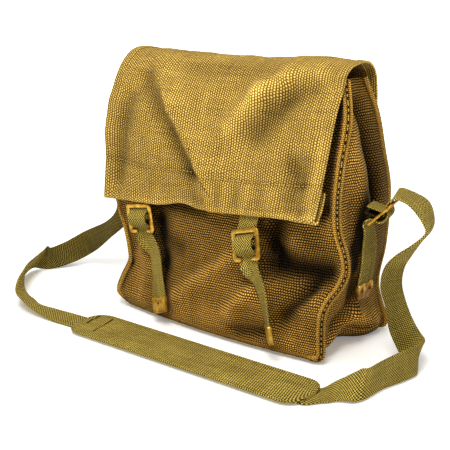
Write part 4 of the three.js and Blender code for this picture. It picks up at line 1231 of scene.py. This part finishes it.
def tip_plate(outline, hole, hole_radius, thickness, soft):
    """A plate round one eyelet hole, as rings of points at each angle about the hole: down the hole's wall,
    out over the front with a raised lip, over the rim and back underneath. Its rim lies where the ray at
    that angle first meets the outline, and soft says how round the rim is."""
    angle = np.linspace(0, 2 * math.pi, SAMPLES["plate"], endpoint=False)
    way = np.stack([np.cos(angle), np.sin(angle)], -1)
    a = outline - hole
    edge = np.roll(outline, -1, axis=0) - outline
    bottom = way[:, None, 0] * edge[None, :, 1] - way[:, None, 1] * edge[None, :, 0]
    safe = np.where(np.abs(bottom) < 1e-9, 1e-9, bottom)
    far = (a[None, :, 0] * edge[None, :, 1] - a[None, :, 1] * edge[None, :, 0]) / safe
    spot = (a[None, :, 0] * way[:, None, 1] - a[None, :, 1] * way[:, None, 0]) / safe
    met = np.where((far > 0) & (spot >= -1e-6) & (spot <= 1 + 1e-6), far, np.inf)
    reach = met.min(1)[:, None]
    round_off = soft[met.argmin(1)][:, None]
    half = thickness / 2
    lip = np.array([0, 0.35, 0.8, 1.25, 1.6])
    rise = np.array([-0.2, 0.45, 0.6, 0.4, 0])
    outward = np.linspace(0, 1, 9)[None, 1:]
    front_r = hole_radius + lip[None] + 0 * reach
    spread = mix(hole_radius + lip[-1], reach - 0.55 * round_off, outward)
    rim_r = reach - round_off * np.array([[0.16, 0.0, 0.0, 0.16, 0.55]])
    rim_z = np.concatenate([
        half - round_off * np.array([[0.16, 0.55]]), -half + round_off * np.array([[0.55, 0.16, 0]])], 1)
    radii = np.concatenate([front_r, spread, rim_r, 0 * reach + hole_radius], 1)
    heights = np.concatenate([half + rise[None] + 0 * reach, half + 0 * spread, rim_z, -half + 0 * reach], 1)
    points = np.concatenate([hole + radii[..., None] * way[:, None], heights[..., None]], -1)
    rows, columns = points.shape[:2]
    index = np.arange(rows * columns).reshape(rows, columns)
    after, right = np.roll(index, -1, axis=0), np.roll(index, -1, axis=1)
    quads = np.stack([index, right, np.roll(after, -1, axis=1), after], -1).reshape(-1, 4)
    return points.reshape(-1, 3), [quads], np.zeros((len(quads), 4, 2))


def tip_outline(lobe, lobes, half, length):
    """Outline of one lobe of a tip: its top, rise times sin(a) less a notch in the middle, and its lower
    corners, square where the next lobe begins. The outer corners' arcs run against the outline, which so
    crosses itself: the plate tapers towards them, and its edge there lies one corner radius higher."""
    tip = TIPS[lobes]
    wide = 2 * half / lobes
    left = -half + lobe * wide
    swing = np.linspace(0, math.pi, SAMPLES["crown"])
    height = tip["rise"] * np.sin(swing) - tip["drop"] - tip["notch"] * bell(np.cos(swing), 0, 0.3)
    crown = np.stack([left + wide / 2 + wide / 2 * np.cos(swing), height], -1)
    corner = np.linspace(0, math.pi / 2, 5)
    low_left = np.array([[left, -length]])
    low_right = np.array([[left + wide, -length]])
    if lobe == 0:
        arc = np.stack([1 - np.sin(corner), 1 - np.cos(corner)], -1)
        low_left = low_left + TIP_CORNER * arc
    if lobe == lobes - 1:
        arc = np.stack([np.cos(corner) - 1, 1 - np.sin(corner)], -1)
        low_right = low_right + TIP_CORNER * arc
    return np.concatenate([crown, low_left, low_right]), np.array([left + wide / 2, tip["eyelet"]])


def build_tip(name, item, web, points, across, lobes):
    """The brass tip on a strap's free end: one plate for each eyelet, side by side, each with a rounded top,
    and a near-black disc of webbing in each eyelet, a painted shadow for the dark hole."""
    up = unit(points[-2] - points[-1])
    side = unit(across[-1] - (across[-1] @ up) * up)
    facing = np.cross(side, up)
    half, bore = web["width"] / 2 + TIP_SIDE, TIPS[lobes]["bore"]
    parts, holes = [], []
    for lobe in range(lobes):
        outline, hole = tip_outline(lobe, lobes, half, item["tip"])
        middle = (np.roll(outline, -1, axis=0) + outline) / 2
        shared = (np.abs(middle[:, 0]) < 1e-3) & (lobes == 2)
        soft = np.where(shared, 0.02, 1.0)
        holes.append(hole)
        parts.append(tip_plate(outline, hole, bore, web["thickness"] + 2 * TIP_WALL, soft))
    flat, faces, uv = joined(parts)
    end = points[-1] - up * GAP
    placed = end + flat[:, :1] * side + flat[:, 1:2] * up + flat[:, 2:] * facing
    turn = np.linspace(0, 2 * math.pi, SAMPLES["eyelet"], endpoint=False)
    ring = (bore + EYELET_LAP) * np.stack([np.cos(turn), np.sin(turn)], -1)
    spots = (np.array(holes)[:, None] + ring).reshape(-1, 2)
    inside = end + spots[:, :1] * side + spots[:, 1:] * up + (web["thickness"] / 2 + EYELET_LIFT) * facing
    discs = np.arange(len(spots)).reshape(lobes, -1)
    # Painted shadow: the discs are near black
    dark = {"painted_light_and_tone": np.full(len(spots), DARKEST)}
    new_piece(f"{name}_eyelet_shadows", inside, discs, finish_of("Cotton webbing"), None, dark)
    # The wide tips are darker brown, less so towards their top
    tip_darkening = {"tip_darkening": TIPS[lobes]["tip_darkening"] * (1 - 0.7 * ramp(flat[:, 1], -6, 0))}
    brass = finish_of("Rolled brass, worn")
    return new_piece(name, placed, faces, brass, None, tip_darkening, [name], sharp=60)


def build_fittings(names, item, web, points, across, lobes):
    """A threaded strap and its buckle, tab and tip, under their names for one side of the bag."""
    strap, buckle, tab, tip = (f"{name}_{item['side']}" for name in names)
    shape, faces, uv = band(points, across, web["width"], web["thickness"])
    new_piece(strap, shape, faces, finish_of("Cotton webbing"), uv, None, [strap])
    build_buckle(buckle, item, web)
    build_tab(tab, item, web)
    build_tip(tip, item, web, points, across, lobes)


class HAVERSACK_OT_closures(bpy.types.Operator):
    """Build the two closure straps with their buckles, tabs and tips"""
    bl_idname = "haversack.closures"
    bl_label = "Closure straps"

    def execute(self, context):
        names = ("closure_strap", "closure_buckle", "closure_tab", "closure_tip")
        layer = context.scene.haversack_cloth.thickness / MM
        sewn = 2 * layer + HEM_GAP + CLOSURE_CLEAR + CLOSURE_WEB["thickness"] / 2
        for item in CLOSURES:
            middle = (item["centre"][0] - CLOSURE_SHIFT - FLAP_LEFT) / (FLAP_RIGHT - FLAP_LEFT)
            u = middle + np.array([[-0.01], [0], [0.01]])
            v = np.array([CLOSURE_SEWN])
            surface, _ = flap_surface(u + 0 * v, v + 0 * u, 0)
            above = surface[1] - grid_normals(surface)[1] * sewn
            points, across = threaded_strap(item, -20, above)
            build_fittings(names, item, CLOSURE_WEB, points, across, 1)
        return {"FINISHED"}


class HAVERSACK_OT_side_fittings(bpy.types.Operator):
    """Build the side buckles with their tabs, and the free ends of the shoulder strap with their tips"""
    bl_idname = "haversack.side_fittings"
    bl_label = "Side fittings"

    def execute(self, context):
        names = ("strap_end", "side_buckle", "side_tab", "strap_tip")
        for item in SIDES:
            points, across = threaded_strap(item, -15)
            build_fittings(names, item, SHOULDER_WEB, points, across, 2)
        return {"FINISHED"}


class HAVERSACK_OT_shoulder_strap(bpy.types.Operator):
    """Build the shoulder strap in one length from buckle to buckle, and the pad that lies over it"""
    bl_idname = "haversack.shoulder_strap"
    bl_label = "Shoulder strap"

    def execute(self, context):
        web = finish_of("Cotton webbing")
        other_way = np.array(RIGHT_ROUTE)[::-1] * (1, 1, 1, -1, -1, -1)
        stations = np.concatenate([LEFT_ROUTE, PAD_ROUTE, other_way])
        route = catmull(stations, np.linspace(0, 1, SAMPLES["shoulder"]))
        points, across = route[:, :3], route[:, 3:]
        shape, faces, uv = band(points, across, SHOULDER_WEB["width"], SHOULDER_WEB["thickness"])
        x, y, z = points.T
        # Painted shade on the strap's far left run, where the bag hides it from the lamps, and on its hanging
        # right run
        left = (1 - ramp(x, *STRAP_PAINTED_SHADE["left_x"])) * ramp(y, *STRAP_PAINTED_SHADE["left_y"])
        right = ramp(x, *STRAP_PAINTED_SHADE["right_x"]) * ramp(y, *STRAP_PAINTED_SHADE["right_y"])
        painted = STRAP_PAINTED_SHADE["left"] * left + STRAP_PAINTED_SHADE["right"] * right * bell(z, *STRAP_PAINTED_SHADE["right_z"])
        values = {"painted_light_and_tone": np.repeat(painted, len(shape) // len(points))}
        strap = new_piece(
            "shoulder_strap", shape, faces, web, uv, values,
            ["shoulder_strap_left", "shoulder_strap_right"])
        pad = self.pad(web)
        self.pad_seams(web)
        return {"FINISHED"}

    def pad_seams(self, web):
        """Two rows of dark stitches across the pad near its left end, where the strap is sewn to it."""
        top = PAD["bed"] + PAD["thickness"]
        rows = [np.linspace((*a, top), (*b, top), PAD_STITCH["count"]) for a, b in PAD_SEAMS]
        along = np.concatenate([np.gradient(row, axis=0) for row in rows])
        spots = np.concatenate(rows)
        upward = np.tile((0.0, 0.0, 1.0), (len(spots), 1))
        return new_stitching("shoulder_pad", spots, along, upward, web, PAD_STITCH)

    def pad(self, web):
        """The pad: a wide band whose half width near each end is w - r + root(r squared - (r - d) squared),
        with w half the full width, d the distance from the end and r the corner's radius."""
        left, right, corner = PAD["left"], PAD["right"], PAD["corner"]
        x = mix(left, right, 0.5 - 0.5 * np.cos(np.linspace(0, math.pi, SAMPLES["pad"])))
        d = np.minimum(np.minimum(x - left, right - x), corner)
        half = PAD["width"] / 2 - corner + np.sqrt(corner ** 2 - (corner - d) ** 2)
        middle_z = PAD["bed"] + PAD["thickness"] / 2
        points = np.stack([x, np.full_like(x, PAD["middle_y"]), np.full_like(x, middle_z)], -1)
        across = np.tile((0.0, 1.0, 0.0), (len(x), 1))
        squeeze = half / (PAD["width"] / 2)
        shape, faces, uv = band(points, across, PAD["width"], PAD["thickness"], squeeze)
        return new_piece("shoulder_pad", shape, faces, web, uv, None, ["shoulder_pad"])


class HAVERSACK_OT_stage(bpy.types.Operator):
    """Build the camera, the floor and the light"""
    bl_idname = "haversack.stage"
    bl_label = "Stage"

    def execute(self, context):
        scene = context.scene
        stage = scene.haversack_stage
        a, e = stage.azimuth, stage.elevation
        back = np.array([math.sin(a) * math.cos(e), -math.cos(a) * math.cos(e), math.sin(e)])
        lens = bpy.data.cameras.new("Camera")
        lens.lens = stage.lens
        lens.sensor_width = 36
        lens.clip_start = 0.05
        camera = bpy.data.objects.new("Camera", lens)
        camera.location = np.array(TARGET) * MM + back * stage.distance
        camera.rotation_euler = (math.pi / 2 - e, 0, a)
        scene.collection.objects.link(camera)
        scene.camera = camera
        half = FLOOR["half"]
        board = bpy.data.meshes.new("floor")
        board.from_pydata(
            [(-half, -half, 0), (half, -half, 0), (half, half, 0), (-half, half, 0)], [], [(0, 1, 2, 3)])
        board.materials.append(floor_material(stage.floor_glow))
        floor = bpy.data.objects.new("floor", board)
        scene.collection.objects.link(floor)
        self.lamp(scene, "Key", KEY_LAMP, stage.key)
        self.lamp(scene, "Top", TOP_LAMP, stage.top)
        world = bpy.data.worlds.new("Studio")
        world.use_nodes = True
        sky = world.node_tree.nodes["Background"]
        sky.inputs["Color"].default_value = (*linear("ffffff"), 1)
        sky.inputs["Strength"].default_value = stage.fill
        scene.world = world
        scene.view_settings.view_transform = "Standard"
        scene.view_settings.look = "High Contrast"
        return {"FINISHED"}

    def lamp(self, scene, name, box, power):
        """A square soft box at a place in metres that faces the middle of the bag."""
        light = bpy.data.lights.new(name, "AREA")
        light.energy = power
        light.size = box["size"]
        lamp = bpy.data.objects.new(name, light)
        lamp.location = box["place"]
        x, y, z = np.array(box["place"]) - LAMP_AIM
        lamp.rotation_euler = (math.atan2(math.hypot(x, y), z), 0, math.atan2(x, -y))
        scene.collection.objects.link(lamp)


class HAVERSACK_PT_panel(bpy.types.Panel):
    """Lists the haversack's steps and settings"""
    bl_idname = "HAVERSACK_PT_panel"
    bl_label = "Haversack"
    bl_space_type = "VIEW_3D"
    bl_region_type = "UI"
    bl_category = "Haversack"

    def draw(self, context):
        for step in STEPS:
            self.layout.operator(step.bl_idname)
        for name in GROUPS:
            group = getattr(context.scene, name)
            box = self.layout.box()
            for key in group.__annotations__:
                box.prop(group, key)


STEPS = (
    HAVERSACK_OT_stage, HAVERSACK_OT_shoulder_strap, HAVERSACK_OT_body, HAVERSACK_OT_seams,
    HAVERSACK_OT_flap, HAVERSACK_OT_closures, HAVERSACK_OT_side_fittings,
)
GROUPS = {
    "haversack_cloth": HaversackCloth, "haversack_metal": HaversackMetal, "haversack_stage": HaversackStage,
}
CLASSES = (*GROUPS.values(), *STEPS, HAVERSACK_PT_panel)


def register():
    for item in CLASSES:
        bpy.utils.register_class(item)
    for name, group in GROUPS.items():
        setattr(bpy.types.Scene, name, PointerProperty(type=group))


def unregister():
    for name in GROUPS:
        delattr(bpy.types.Scene, name)
    for item in reversed(CLASSES):
        bpy.utils.unregister_class(item)


def main():
    """Registers the add-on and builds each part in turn."""
    register()
    bpy.ops.haversack.stage()
    bpy.ops.haversack.shoulder_strap()
    bpy.ops.haversack.body()
    bpy.ops.haversack.seams()
    bpy.ops.haversack.flap()
    bpy.ops.haversack.closures()
    bpy.ops.haversack.side_fittings()


if __name__ == "__main__":
    main()
